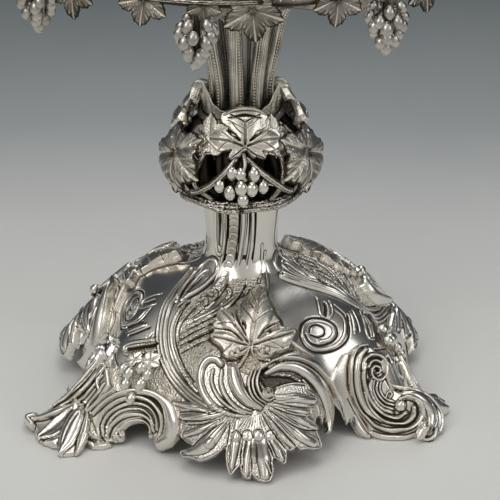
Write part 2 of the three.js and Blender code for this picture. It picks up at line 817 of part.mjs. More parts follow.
// A bunch of grapes that hangs under the ring by its stalk, at bearing 0
function hangingBunch() {
  const reach = (RING_TUBE + SEAT_GAP + CHORD_ALLOWANCE) * Math.SQRT1_2;
  const top = RING_HEIGHT - reach;
  const axis = RING_RADIUS + BUNCH_OFFSET;
  const grapeRadius = BUNCH_GRAPE_RADIUS;
  const rows = [
    { count: 3, spread: 1, turn: 0 },
    { count: 2, spread: 0.8, turn: 60 },
    { count: 1, spread: 0, turn: 0 },
  ];
  const first = top - BUNCH_LENGTH + grapeRadius * GRAPE_STRETCH;
  const step = grapeRadius * 1.6;
  const ringRadius = BUNCH_RADIUS - grapeRadius;
  const grapes = rows.flatMap(({ count, spread, turn }, row) => {
    const height = first + step * (rows.length - 1 - row);
    return Array.from({ length: count }, (_, index) => {
      const centre = polar(turn + (360 * index) / count, ringRadius * spread, height);
      return ball(centre.add(polar(0, axis, 0)), grapeRadius, GRAPE_STRETCH, 5, 3);
    });
  });
  const stalk = bar(
    [polar(0, RING_RADIUS + reach, top), polar(0, axis, first + step * 2), polar(0, axis, first)],
    [STALK_RADIUS, ringRadius * 0.8, STALK_RADIUS],
    2,
    4,
  );
  return joined([stalk, ...grapes]);
}

// The dish's line from its floor to its rim, passing just inside the ring. The inset sets the
// inner face in from the outer one, by less where the wall stands steeper.
function dishLine(inset) {
  const floor = RING_HEIGHT - DISH_FLOOR_DROP;
  const offset = RING_TUBE + SEAT_GAP + CHORD_ALLOWANCE;
  return [
    [DISH_FLOOR_RADIUS, floor + inset],
    [DISH_LOWER_RADIUS, floor + DISH_LOWER_RISE + inset],
    [DISH_MIDDLE_RADIUS, floor + DISH_MIDDLE_RISE + inset * 0.95],
    [RING_RADIUS - offset * 0.5 - inset * 0.4, RING_HEIGHT + offset * 0.9 + inset * 0.85],
    [DISH_SIDE_RADIUS - inset * 0.8, RING_HEIGHT + DISH_SIDE_RISE + inset * 0.3],
    [DISH_RADIUS - inset, DISH_HEIGHT],
  ];
}

function glassDish() {
  const outer = dishLine(0);
  const inner = dishLine(DISH_WALL).toReversed();
  const floor = outer[0][1];
  return turned(
    [[0, floor], ...outer, ...inner, [0, floor + DISH_WALL]],
    32,
  );
}

// The plate soldered inside the neck that the nut pulls against
const PLATE_TOP = NECK_BOTTOM + PLATE_RISE;
const PLATE_BOTTOM = PLATE_TOP - PLATE_THICKNESS;

function neckPlate() {
  const bore = ROD_RADIUS + ROD_CLEARANCE;
  const radius = NECK_RADIUS - DOME_WALL - SEAT_GAP;
  return turned(tubeProfile(bore, radius, PLATE_BOTTOM, PLATE_TOP), 24);
}

const WASHER_BOTTOM = PLATE_BOTTOM - SEAT_GAP - WASHER_THICKNESS;
const NUT_BOTTOM = WASHER_BOTTOM - SEAT_GAP - NUT_HEIGHT;

function washer() {
  const bore = ROD_RADIUS + ROD_CLEARANCE;
  return turned(
    tubeProfile(bore, WASHER_RADIUS, WASHER_BOTTOM, WASHER_BOTTOM + WASHER_THICKNESS),
    16,
  );
}

function hexNut() {
  const corner = NUT_ACROSS / Math.sqrt(3);
  const outside = new THREE.CylinderGeometry(corner, corner, NUT_HEIGHT, 6);
  outside.rotateX(Math.PI / 2);
  outside.translate(0, 0, NUT_BOTTOM + NUT_HEIGHT / 2);
  const bore = new THREE.CylinderGeometry(
    ROD_RADIUS + SEAT_GAP,
    ROD_RADIUS + SEAT_GAP,
    NUT_HEIGHT * 2,
    16,
  );
  bore.rotateX(Math.PI / 2);
  bore.translate(0, 0, NUT_BOTTOM + NUT_HEIGHT / 2);
  return solid(outside).subtract(solid(bore));
}

function tieRod() {
  const bottom = NUT_BOTTOM - ROD_TAIL;
  const top = HUB_BOTTOM + HUB_HEIGHT - HUB_CROWN;
  const geometry = new THREE.CylinderGeometry(ROD_RADIUS, ROD_RADIUS, top - bottom, 16);
  geometry.rotateX(Math.PI / 2);
  geometry.translate(0, 0, (top + bottom) / 2);
  return solid(geometry);
}

// Hub at the head of the rod, which the spreading stems close round
function crownHub() {
  const bore = ROD_RADIUS + SEAT_GAP;
  const bottom = HUB_BOTTOM - HUB_SKIRT;
  const top = HUB_BOTTOM + HUB_HEIGHT;
  const under = STEM_BUNDLE_RADIUS - STEM_RADIUS - HUB_ROOM;
  const head = STEM_SPREAD_RADIUS - STEM_RADIUS - SEAT_GAP - 2 * CHORD_ALLOWANCE;
  return turned(
    [
      [bore, bottom],
      [under, bottom],
      [head, top - HUB_CROWN],
      [head - HUB_CROWN, top],
      [0, top],
      [0, top - HUB_CROWN + SEAT_GAP],
      [bore, top - HUB_CROWN + SEAT_GAP],
      [bore, bottom],
    ],
    24,
  );
}

const silver = new THREE.MeshStandardMaterial({
  color: 0xd9d6cf,
  roughness: 0.22,
  metalness: 1,
});
const frostedSilver = new THREE.MeshStandardMaterial({
  color: 0xcfc8ba,
  roughness: 0.42,
  metalness: 1,
});
const steel = new THREE.MeshStandardMaterial({
  color: 0x8f8c86,
  roughness: 0.5,
  metalness: 1,
});
const glass = new THREE.MeshStandardMaterial({
  color: 0xeef4f2,
  roughness: 0.05,
  metalness: 0,
  transparent: true,
  opacity: 0.35,
});

const comport = new THREE.Group();

function place(name, made, material, bearing = 0) {
  const mesh = new THREE.Mesh(geometryOf(made), material);
  mesh.name = name;
  mesh.rotation.z = radians(bearing);
  comport.add(mesh);
}

place("foot_dome", footDome(), silver);
place("neck_plate", neckPlate(), steel);
place("washer", washer(), steel);
place("rod_nut", hexNut(), steel);
place("tie_rod", tieRod(), steel);
place("crown_hub", crownHub(), silver);
place("knop_core", knopCore(), silver);
place("knop_basket", knopBasket(), frostedSilver);
place("calyx", calyx(), frostedSilver);
place("stem_seat", stemSeat(), silver);
place("bowl_ring", bowlRing(), silver);

const foot = scrollFoot();
const arch = archScroll();
const shell = shellMount();
const panelVine = panelLeaf();
const panelBunch = panelGrapes();
const strandFace = STRAND_RADIUS + SEAT_GAP;
const upperLeaf = knopLeaf(0, KNOP_TOP - UPPER_LEAF_DROP, 1, strandFace + KNOP_LEAF_STAND);
const hungLeaf = knopLeaf(
  PANEL_STEP / 2,
  KNOP_BOTTOM + HANGING_LEAF_RISE,
  -1,
  strandFace + KNOP_LEAF_STAND,
);
const knopBunch = knopGrapes();
for (let panel = 0; panel < PANELS; panel++) {
  const bearing = panel * PANEL_STEP;
  const number = panel + 1;
  place(`scroll_foot_${number}`, foot, silver, bearing);
  place(`arch_scroll_${number}`, arch, silver, bearing);
  place(`shell_mount_${number}`, shell, silver, bearing);
  place(`panel_leaf_${number}`, panelVine, frostedSilver, bearing);
  place(`panel_grapes_${number}`, panelBunch, silver, bearing);
  place(`knop_upper_leaf_${number}`, upperLeaf, frostedSilver, bearing);
  place(`knop_hanging_leaf_${number}`, hungLeaf, frostedSilver, bearing);
  place(`knop_grapes_${number}`, knopBunch, silver, bearing);
}

const stem = vineStem();
const spray = leafSpray();
const bunch = hangingBunch();
for (let index = 0; index < STEMS; index++) {
  const bearing = FIRST_STEM + index * STEM_STEP;
  const number = index + 1;
  place(`vine_stem_${number}`, stem, frostedSilver, bearing);
  place(`leaf_spray_${number}`, spray, frostedSilver, bearing);
  place(`hanging_grapes_${number}`, bunch, silver, bearing);
}

place("glass_dish", glassDish(), glass);

export default comport;
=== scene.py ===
# A silver comport dressed for Blender. Sizes are in millimetres until a mesh is made, +Z up, with
# the origin on the axis at floor level. A bearing is in degrees from the front (-Y) towards +X.
import math

import bpy
import numpy as np
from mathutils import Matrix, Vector

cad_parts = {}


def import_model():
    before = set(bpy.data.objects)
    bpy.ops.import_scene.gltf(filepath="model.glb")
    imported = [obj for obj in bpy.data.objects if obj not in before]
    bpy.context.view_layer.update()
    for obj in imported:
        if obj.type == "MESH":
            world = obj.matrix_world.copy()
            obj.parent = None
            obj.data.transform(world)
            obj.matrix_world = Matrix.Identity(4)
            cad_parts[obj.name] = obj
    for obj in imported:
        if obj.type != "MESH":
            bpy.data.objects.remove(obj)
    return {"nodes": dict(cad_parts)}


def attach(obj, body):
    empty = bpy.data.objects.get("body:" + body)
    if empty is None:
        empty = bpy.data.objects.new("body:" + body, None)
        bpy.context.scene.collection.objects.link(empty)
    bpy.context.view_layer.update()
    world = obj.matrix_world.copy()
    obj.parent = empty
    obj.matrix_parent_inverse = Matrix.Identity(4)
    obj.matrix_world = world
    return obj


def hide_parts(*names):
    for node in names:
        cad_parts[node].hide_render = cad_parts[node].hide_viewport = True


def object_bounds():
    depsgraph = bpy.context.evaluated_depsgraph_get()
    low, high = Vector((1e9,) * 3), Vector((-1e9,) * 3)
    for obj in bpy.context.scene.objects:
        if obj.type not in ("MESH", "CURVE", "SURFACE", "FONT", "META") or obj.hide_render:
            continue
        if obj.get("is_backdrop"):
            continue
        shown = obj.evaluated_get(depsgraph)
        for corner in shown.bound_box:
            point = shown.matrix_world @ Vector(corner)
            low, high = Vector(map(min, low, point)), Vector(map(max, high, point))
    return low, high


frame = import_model()
CAD_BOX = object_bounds()
MM = 0.001
PANELS = 3
PANEL_STEP = 120.0
FOOT = 60.0
STEMS = 8
FIRST_STEM = -55.0
rng = np.random.default_rng(11)

# The dome's line from the neck's top to the rim, as in the CAD
NECK_LINE = [(20, 112), (20, 79), (28, 72), (54, 61), (81, 37), (102, 9)]
FLARE_RADIUS, RIM_RADIUS = 28.0, 102.0
# Where its plan is drawn in beside a foot, in degrees from it, and the share it loses there
DRAWN_IN = [(-20.0, 0.21), (29.0, 0.17)]
DIP_REACH = 25.0


def steps(line):
    return np.linalg.norm(np.diff(line, axis=0), axis=1)


def run_along(line):
    return np.concatenate([[0], np.cumsum(steps(line))])


def spline(points, per):
    """A centripetal Catmull-Rom line through the points, with per samples to each span."""
    p = np.asarray(points, float)
    p = np.vstack([2 * p[0] - p[1], p, 2 * p[-1] - p[-2]])
    spans = []
    for i in range(len(p) - 3):
        four = p[i : i + 4]
        p0, p1, p2, p3 = four
        d0, d1, d2 = (math.sqrt(max(np.linalg.norm(b - a), 1e-6)) for a, b in zip(four, four[1:]))
        m1 = ((p1 - p0) / d0 - (p2 - p0) / (d0 + d1) + (p2 - p1) / d1) * d1
        m2 = ((p2 - p1) / d1 - (p3 - p1) / (d1 + d2) + (p3 - p2) / d2) * d1
        last = i == len(p) - 4
        t = np.linspace(0, 1, per + last, endpoint=last)[:, None]
        square, cube = 3 * (p2 - p1) - 2 * m1 - m2, 2 * (p1 - p2) + m1 + m2
        spans.append(p1 + t * m1 + t**2 * square + t**3 * cube)
    return np.vstack(spans)


def resample(line, count):
    run = run_along(line)
    at = np.linspace(0, run[-1], count)
    return np.stack([np.interp(at, run, line[:, k]) for k in range(line.shape[1])], axis=1)


LINE = spline(NECK_LINE, 200)
RUN = run_along(LINE)
TANGENT = np.gradient(LINE, axis=0)
TANGENT /= np.linalg.norm(TANGENT, axis=1)[:, None]
DOME_RUN = RUN[-1]


def polar(bearing, radius, height):
    a = np.radians(np.asarray(bearing, float))
    x, y, z = np.broadcast_arrays(radius * np.sin(a), -radius * np.cos(a), height)
    return np.stack([x, y, z], axis=-1)


def dip(bearing, centre):
    away = np.abs(np.mod(bearing - centre + PANEL_STEP / 2, PANEL_STEP) - PANEL_STEP / 2)
    curve = 0.5 + 0.5 * np.cos(np.pi * np.minimum(away, DIP_REACH) / DIP_REACH)
    return np.where(away > DIP_REACH, 0, curve)


def plan_share(bearing, radius):
    weight = np.clip((radius - FLARE_RADIUS) / (RIM_RADIUS - FLARE_RADIUS), 0, 1)
    return 1 - sum(share * dip(bearing, FOOT + off) for off, share in DRAWN_IN) * weight**1.3


def dome(bearing, run, lift=0.0):
    """Points over the dome's face, where run is the way down its line from the neck's top."""
    bearing, run, lift = np.broadcast_arrays(np.asarray(bearing, float), run, lift)
    x, z = (np.interp(run, RUN, values) for values in LINE.T)
    tx, tz = (np.interp(run, RUN, values) for values in TANGENT.T)
    # Past the rim the run goes on along the last slope.
    past = np.maximum(run - DOME_RUN, 0)
    x, z = x + past * tx, z + past * tz
    return polar(bearing, (x - tz * lift) * plan_share(bearing, x), z + tx * lift)


def turn_in_plane(right, up, degrees):
    c, s = math.cos(math.radians(degrees)), math.sin(math.radians(degrees))
    return right * c - up * s, right * s + up * c


def turned_z(points, bearing):
    x, y, z = np.moveaxis(points, -1, 0)
    return np.stack([*turn_in_plane(x, y, bearing), z], -1)


def unit(v):
    return v / np.maximum(np.linalg.norm(v, axis=-1, keepdims=True), 1e-9)


def dome_up(bearing, run):
    """The way up from the dome's face."""
    return unit(dome(bearing, run, 5.0) - dome(bearing, run, 4.0))


# Materials


def feed(tree, slot, value):
    """Gives an input a value, or links an output to it."""
    if isinstance(value, bpy.types.NodeSocket):
        tree.links.new(value, slot)
    else:
        slot.default_value = value


def give(tree, made, **values):
    """Sets a node. Each name is an input's, with _ for a space, or else a setting's."""
    for key, value in values.items():
        label = key.replace("_", " ")
        if label in made.inputs:
            feed(tree, made.inputs[label], value)
        else:
            setattr(made, key, value)


def node(tree, kind, **values):
    made = tree.nodes.new("ShaderNode" + kind)
    give(tree, made, **values)
    return made


def nodes_of(name):
    """A new material with its tree, its shader and the place on the object."""
    material = bpy.data.materials.new(name)
    material.use_nodes = True
    tree = material.node_tree
    where = node(tree, "TexCoord").outputs["Object"]
    return material, tree, tree.nodes["Principled BSDF"], where


def noise(tree, where, scale, detail, roughness=0.5):
    made = node(tree, "TexNoise", Vector=where, Scale=scale, Detail=detail, Roughness=roughness)
    return made.outputs["Fac"]


def attribute(tree, name):
    return node(tree, "Attribute", attribute_name=name).outputs["Fac"]


def reckon(tree, operation, *values):
    """The output of a sum done on values or outputs."""
    made = node(tree, "Math", operation=operation)
    for slot, value in zip(made.inputs, values):
        feed(tree, slot, value)
    return made.outputs[0]


def ramp(tree, source, stops):
    made = node(tree, "ValToRGB", Fac=source)
    elements = made.color_ramp.elements
    while len(elements) < len(stops):
        elements.new(0.5)
    for element, (place, colour) in zip(elements, stops):
        element.position = place
        element.color = (*colour, 1)
    return made.outputs[0]


def silver(name, bright, dark, rough, grain, matting=0.0, dark_from=0.18):
    """Silver that is polished on its high parts and oxidised in its hollows. Its darkening attribute
    is 0.5 on flat metal and rises to 1 in a groove, and matted is 1 on punched ground. The pieces
    add painted shade to that attribute, and the panel leaf a little painted light."""
    material, tree, shader, where = nodes_of(name)
    tarnish_and_shade = attribute(tree, "tarnish_and_shade")
    matted = attribute(tree, "matted")
    # Random stains plus the darkening attribute, which holds oxide and painted shade
    stain_and_shade = reckon(tree, "MULTIPLY_ADD", noise(tree, where, 90.0, 3.0, 0.6), 0.3, tarnish_and_shade)
    stain_and_shade = reckon(tree, "SUBTRACT", stain_and_shade, 0.15)
    middle = tuple(0.45 * b + 0.55 * d for b, d in zip(bright, dark))
    stops = [(0.5 + dark_from * 0.3, bright), (0.5 + dark_from, middle), (0.925, dark)]
    ground = node(tree, "Mix", data_type="RGBA", blend_type="MULTIPLY")
    # Inputs 6 and 7 are the two colours that this node mixes.
    for slot, value in ((0, matted), (6, ramp(tree, stain_and_shade, stops)), (7, (1.0, 0.97, 0.93, 1))):
        feed(tree, ground.inputs[slot], value)
    smear = noise(tree, where, 260.0, 4.0, 0.65)
    polish = node(tree, "MapRange", Value=smear, To_Min=rough * 0.75, To_Max=rough * 1.45)
    dull = reckon(tree, "MULTIPLY_ADD", matted, 0.07, polish.outputs[0])
    dirty = node(tree, "MapRange", Value=tarnish_and_shade, From_Min=0.55, From_Max=0.95, To_Max=0.35)
    fine = noise(tree, where, 900.0, 2.0, 0.6)
    last = node(tree, "Bump", Strength=grain, Distance=0.0003, Height=fine)
    if matting:
        punched = node(tree, "TexVoronoi", Vector=where, Scale=950.0).outputs["Distance"]
        strength = reckon(tree, "MULTIPLY", matted, matting)
        normal = last.outputs[0]
        last = node(tree, "Bump", Strength=strength, Distance=0.0022, Height=punched, Normal=normal)
    roughness = reckon(tree, "ADD", dull, dirty.outputs[0])
    give(tree, shader, Metallic=1.0, Base_Color=ground.outputs[2], Roughness=roughness)
    give(tree, shader, Normal=last.outputs[0])
    return material


def glass_material():
    material, tree, shader, where = nodes_of("glass")
    give(tree, shader, Base_Color=(0.97, 0.99, 0.985, 1), Transmission_Weight=1.0, IOR=1.5)
    ripple = noise(tree, where, 40.0, 2.0)
    rough = node(tree, "MapRange", Value=ripple, To_Min=0.0, To_Max=0.03)
    bump = node(tree, "Bump", Strength=0.05, Distance=0.001, Height=ripple)
    give(tree, shader, Roughness=rough.outputs[0], Normal=bump.outputs[0])
    clear = node(tree, "BsdfTransparent", Color=(0.93, 0.95, 0.94, 1))
    shadow = node(tree, "LightPath").outputs["Is Shadow Ray"]
    mix = node(tree, "MixShader")
    for slot, value in enumerate((shadow, shader.outputs[0], clear.outputs[0])):
        feed(tree, mix.inputs[slot], value)
    feed(tree, tree.nodes["Material Output"].inputs["Surface"], mix.outputs[0])
    return material


BRIGHT = (0.80, 0.77, 0.715)
WARM = (0.76, 0.715, 0.64)
# The dark end of the silver: oxide in the hollows and the painted shade that pieces add
DARK_TARNISH_AND_SHADE = (0.06, 0.047, 0.034)
# Two colours, the roughness, the grain, the matting and where the dark starts
METALS = {
    "chased_silver": (BRIGHT, DARK_TARNISH_AND_SHADE, 0.19, 0.10, 0.62),
    "polished_silver": (BRIGHT, DARK_TARNISH_AND_SHADE, 0.17, 0.06, 0.0, 0.25),
    "cast_silver": (WARM, DARK_TARNISH_AND_SHADE, 0.25, 0.30, 0.8),
    # Painted shade: near-black silver for the inner core, plate and seat, so the openwork shows dark
    "inner_silver": ((0.07, 0.06, 0.05), (0.02, 0.016, 0.012), 0.6, 0.5),
    "steel": ((0.56, 0.55, 0.53), (0.05, 0.05, 0.05), 0.38, 0.4),
}
MATERIALS = {name: silver(name, *look) for name, look in METALS.items()}
MATERIALS["glass"] = glass_material()

# Meshes


def grid_faces(rows, columns, close_rows=False, close_columns=False):
    r = np.arange(rows if close_rows else rows - 1)
    c = np.arange(columns if close_columns else columns - 1)
    r, c = np.meshgrid(r, c, indexing="ij")
    r2, c2 = (r + 1) % rows, (c + 1) % columns
    quads = np.stack([r * columns + c, r * columns + c2, r2 * columns + c2, r2 * columns + c], -1)
    return quads.reshape(-1, 4)


def write(mesh, name, values):
    kept = mesh.attributes.new(name, "FLOAT", "POINT")
    kept.data.foreach_set("value", np.asarray(values, float))


class Shape:
    """Vertices, faces and two vertex values that gather before they become a mesh."""

    def __init__(self):
        self.points, self.faces, self.matted, self.tarnish_and_shade, self.count = [], [], [], [], 0

    def add(self, points, faces, matted=0.0, tarnish_and_shade=0.0):
        points = np.asarray(points, float).reshape(-1, 3)
        self.points.append(points)
        self.matted.append(np.broadcast_to(np.ravel(matted), len(points)))
        self.tarnish_and_shade.append(np.broadcast_to(np.ravel(tarnish_and_shade), len(points)))
        self.faces += [np.asarray(face) + self.count for face in faces]
        self.count += len(points)

    # Adds to the shape's darkening: oxide, painted shade, and painted light where the amount is below
    # zero
    def add_tarnish_and_painted_light(self, amount):
        self.tarnish_and_shade = [shade + amount for shade in self.tarnish_and_shade]

    def mesh(self, name, hollow_scale=0.16, rounds=6):
        """The mesh, whose darkening attribute says how far a point lies below its smoothed place, in
        shares of hollow_scale, with the shape's own additions of oxide, painted shade and painted light."""
        points = np.vstack(self.points)
        mesh = bpy.data.meshes.new(name)
        mesh.from_pydata(points * MM, [], [f.tolist() for f in self.faces])
        mesh.update()
        mesh.polygons.foreach_set("use_smooth", [True] * len(mesh.polygons))
        edges = np.empty(len(mesh.edges) * 2, int)
        mesh.edges.foreach_get("vertices", edges)
        edges = edges.reshape(-1, 2)
        normals = np.empty(len(points) * 3)
        mesh.vertices.foreach_get("normal", normals)
        degree = np.bincount(edges.ravel(), minlength=len(points))[:, None]
        smooth = points.copy()
        for _ in range(rounds):
            total = np.zeros_like(smooth)
            np.add.at(total, edges[:, 0], smooth[edges[:, 1]])
            np.add.at(total, edges[:, 1], smooth[edges[:, 0]])
            smooth = 0.5 * smooth + 0.5 * total / np.maximum(degree, 1)
        depth = ((smooth - points) * normals.reshape(-1, 3)).sum(1)
        tarnish_and_shade = 0.5 + 0.5 * np.clip(depth / hollow_scale, -1, 1) + np.concatenate(self.tarnish_and_shade)
        write(mesh, "tarnish_and_shade", np.clip(tarnish_and_shade, 0, 1))
        write(mesh, "matted", np.concatenate(self.matted))
        return mesh


def piece(name, mesh, slot, nodes, body="stand", bearing=0.0):
    ob = bpy.data.objects.new(name, mesh)
    bpy.context.scene.collection.objects.link(ob)
    if not mesh.materials:
        mesh.materials.append(MATERIALS[slot])
    ob.rotation_euler = (0, 0, math.radians(bearing))
    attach(ob, body)
    if nodes:
        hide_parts(*nodes)


def ring_of(name, meshes, slot, stems=()):
    """A piece for each panel, in place of the nodes whose names end in its number."""
    for k in range(PANELS):
        nodes = [f"{stem}_{k + 1}" for stem in stems]
        piece(f"{name}_{k + 1}", meshes[k], slot, nodes, bearing=k * PANEL_STEP)


# Drawings are kept as words. A stroke is a kind, its half width, its height and its points, and a
# width or height of several numbers eases from one to the next. A + starts a stroke with the kind
# and sizes of the last, = gives one more number, and @ stands for an outline or its first points.
# In a carving, a plate raises an outline with a bevel and = says how matt it is. A clip takes off
# what lies past an outline. A roll, a lobe and a spoon are plain, ribbed and dished bars, where =
# counts ribs. A cut is a groove, beads are balls, where = spaces a count of them along a line, and
# a shade only darkens, as oxide and painted shade in hollows and under lobes.


def numbers(word):
    values = tuple(map(float, word.split(",")))
    return values if len(values) > 1 else values[0]


def outline(text):
    return np.array([numbers(word) for word in text.split()])


def strokes(text, edge=()):
    made = []
    for word in text.split():
        if word.isalpha():
            made.append([word, None, None, [], 0])
        elif word == "+":
            made.append([*made[-1][:3], [], 0])
        elif word[0] == "=":
            made[-1][4] = float(word[1:])
        elif word[0] == "@":
            made[-1][3] = edge[: int(word[1:] or len(edge))]
        elif made[-1][2] is None:
            made[-1][made[-1].index(None)] = numbers(word)
        else:
            made[-1][3].append(numbers(word))
    return made


def nearest(points, line):
    """For each point the distance to a line, the side of it, which holds for picture points, and
    the share of its length there."""
    a, b = line[:-1], line[1:]
    length = steps(line)
    start = run_along(line)
    best = np.full(len(points), np.inf)
    share = np.zeros(len(points))
    side = np.ones(len(points))
    for i in range(len(a)):
        ab = b[i] - a[i]
        rel = points - a[i]
        t = np.clip((rel @ ab) / max(length[i] ** 2, 1e-9), 0, 1)
        away = ((rel - t[:, None] * ab) ** 2).sum(1)
        near = away < best
        best[near] = away[near]
        share[near] = (start[i] + t[near] * length[i]) / start[-1]
        side[near] = np.sign(ab[0] * rel[near, 1] - ab[1] * rel[near, 0] + 1e-9)
    return np.sqrt(best), side, share


def inside(across, down, loop):
    """Whether points lie in a closed outline, by crossings."""
    hit = np.zeros(across.shape, bool)
    for (x0, y0), (x1, y1) in zip(loop, np.roll(loop, -1, axis=0)):
        crosses = (y0 > down) != (y1 > down)
        with np.errstate(divide="ignore", invalid="ignore"):
            hit ^= crosses & (across < (x1 - x0) * (down - y0) / (y1 - y0) + x0)
    return hit


def rounded(x, power=2):
    return np.sqrt(np.maximum(1 - x**power, 0))


# The dome's relief, drawn as bearings and runs for the front panel
RELIEF = strokes("""
ridge 0.9 0.7 -41.4,-2 -43.5,10 -45.5,20 -43.2,26.6 -37.5,28.2 -32.5,26.2 -29,20.4 -27,9.4 -26.6,-2
groove 1.25 1.6 -34.7,-2 -35.2,11 -37.6,22.5
groove 0.8 1.3 -20.4,-2 -20.3,9.1 -22.5,18.2 -26.2,27.3 -30.2,34.8 -32.5,42.6 -36.6,50.7 -40.9,58.9
  -43,66.4
ridge 0.7 0.6 -24.6,-2 -24,9.1 -26.6,18.2 -30.4,27.3 -33.6,33.8 -35,41.6 -39.6,50
groove 0.7 1.2 -1.8,-2 -2.4,8.4 -4.2,17.5 -6.8,24.7 -9.6,32.1 -13,39.4 -16.3,46.7 -20.5,55.3 -25.7,62.1
scales 2.6 1.1 -11,-2 -11.1,8.5 -13.1,17.8 -16.6,26.8 -20,34.1 -22.6,42.6 -27,50.9
ridge 0.8 0.6 3.4,-2 3.5,8.5 1.4,17.5 -3,28.2 -5.6,33.4 -1.6,36.8 4.4,36.9 10,33.6 15,27 18,18.1
  18.4,8.9 17.8,-2
groove 1.3 1.7 11.4,-2 12,8.7 10,17.7 6.6,25.5 3.4,31.5
groove 0.7 1.2 22.2,-2 22.8,9.3 21.7,20.1 18.4,28.6 12.5,35.9 4.1,44.2 -1.9,52.2 -7,58
ridge 0.7 0.7 36.5,22 35,29 28.4,36.7 19.8,42.8
ridge 0.8 0.8 42.5,27 36,37.3 27.8,46.5 21,52
ridge 1.4 1.4 -47.9,64.1 -55.8,53.5 -63.1,44.2 -64,37.1 -56,32.8 -43.4,32 -37,35.1 -35.6,40 -38.2,46.7
  -42.2,54.4 -45.5,61.7
ridge 1.2 1.1 -44.9,61.9 -51.1,52.2 -54.2,44.8 -51.5,39.4 -45,38 -41.5,41 -43,48 -45,54.5
groove 0.8 1 -47.6,60 -54,50 -57,42.5 -53,36.4 -44,35.2 -40,38.5
+ -46,57 -49,49 -48.6,43
band 3.1 2 -66.5,44 -59.8,51.5 -53.7,61.2 -49.3,69.8 -45.3,78.5 -41.2,87.9 -36.9,97 -32.1,105.1
  -26.8,110.9 -20.4,114.3 -14.8,116.2 -9.7,117.5
ridge 0.9 0.9 -40.1,60.8 -40.5,69.8 -39.2,79.2 -35.4,89 -31,97 -26.3,103.2 -21,108.1 -17.2,111.4
groove 0.6 0.8 -38.2,61.8 -38.3,69.8 -37,79.2 -33.4,88.6 -29,96 -24.3,102 -19,106.6
ridge 1 0.9 -31.9,60.8 -34.7,70.4 -35.4,79.6 -33.1,87.2
ridge 1.2 1.1 -32.6,54.8 -28.8,49.8 -23.2,50.4 -21.5,56.3 -24.2,62.2
ridge 1.1 1 -33,58.6 -28.9,56.3 -26.5,60.3 -28.8,66.5 -31.8,71.3
ridge 1.2 1.1 -15.5,45.2 -10.6,48.7 -12.2,54 -16.7,60.6
ridge 1.1 1 1.8,48 -7.2,56 -15.3,63.5 -23,71 -30.2,77.7
ridge 1 0.9 -4.2,50 -12.8,58 -20.7,65.6 -27.8,71.8
ridge 1.2 1.1 -12.2,66.1 -20.7,73.4 -27.2,80 -31.5,84.2
+ -12.5,71.3 -21,77.8 -27,84.1 -30.8,88.4
+ -12.5,77.3 -20.2,83 -26,89 -29.3,93
groove 0.6 0.8 -13.2,69.1 -21,75.8 -27.8,82.3
+ -13.2,74.4 -20.8,80.5 -26.8,86.6
ridge 0.9 1.2 4.1,84.4 1.6,89.1 -1.4,95
+ 4.6,84.4 7.4,89.8 11.9,91.6
groove 0.7 0.8 38,83.8 40.2,81.2 44,81.2 46.8,84.4 45.6,88.2 41.6,88.8 38,85.8
groove 0.8 0.9 61.9,74.9 62.4,82.9 58.6,90.6 52.5,97 45,99.6 37.5,97.2 31.9,90.4 31.4,82.8 35.2,77.8
  42.7,76.2 49.7,79.1 53.3,84.7 51.8,90.6 46.6,94.3 40.1,93.8 35.4,89.2 34.8,84.4
ridge 0.8 0.6 59.6,77 60,82.9 56.4,89.6 51,95.2 45,97.4 38.8,95.6 33.7,89.6 33.2,83.4 36.4,79.4
  42.7,78.4 48.3,80.7 51.2,84.9 50,89.6 46,92.3 41.5,91.8
groove 1.2 1.5 57.6,71 55,74.4 52.4,77.4
ridge 0.8 0.7 56.8,65.6 52.4,71.3 50,76.2 50.9,80 54.6,79.4 58.6,75.8 61.4,71.6
groove 0.9 1.1 62.5,93.5 66.5,88.8 70,84.3
groove 1 1.2 56.5,92.1 60.1,87.5 64,83.3
ridge 1 0.8 59.7,93.1 63.4,88.4 67.3,83.6
groove 1.3 1.5 67,99.6 73,95.6 78.5,92.2
ridge 0.9 0.8 78.5,89 72,92.3 66.4,96.2 64.6,100 67.5,102.4 73.6,98.9 79,95.6
groove 0.7 0.9 58,101 60.5,104.5 65.5,108.6 70.5,112.6 73,118
ridge 1 0.8 14.5,92.5 21,90.6 28,92.5
groove 0.6 0.7 20,97.8 26,99.4 31,103.4 33.6,109
ridge 0.9 0.8 16.4,95.4 24,96 31,99.4 35.8,105.4 37,112
rim 1.5 1.1
""")
RELIEF[-1][3] = [(bearing, DOME_RUN - 1.8) for bearing in range(-62, 63, 4)]
MATTED = """
-4,84.8 9.5,86.2 15.5,88.2 12,93.4 8.5,95.8 6.5,102.3 -0.5,100.9 -5.5,94.8 -8.5,89.6
/
-54.5,111.9 -38.5,97.2 -32,107.5 -21,116.7 -17,122.9 -25,121.5 -33.5,117.1 -41.5,115.4 -48,120.9
/
-34.5,79.6 -22.2,69.3 -12.7,62.8 -4.5,80 -3.9,88.8 -12.1,89.2 -17.1,94.6 -18.1,103 -16.7,112.4
-22.9,107.7 -29.3,98.4 -32.9,88.2
/
-19.5,36.2 -10,34 5.6,39 29,35.9 22.7,49.2 6.9,55.6 -9.2,54.6 -22,49.2
/
-46.2,84 -43,89.2 -38,98.2 -33.6,105.9 -27.9,113.4 -30.5,121.6 -39.2,119.2 -47.8,112.9 -50,100
/
-42,62 -36,52 -30,47 -22,48 -21,58 -28,70 -36,78 -41,70
"""
MATTED = [outline(area) for area in MATTED.split("/")]
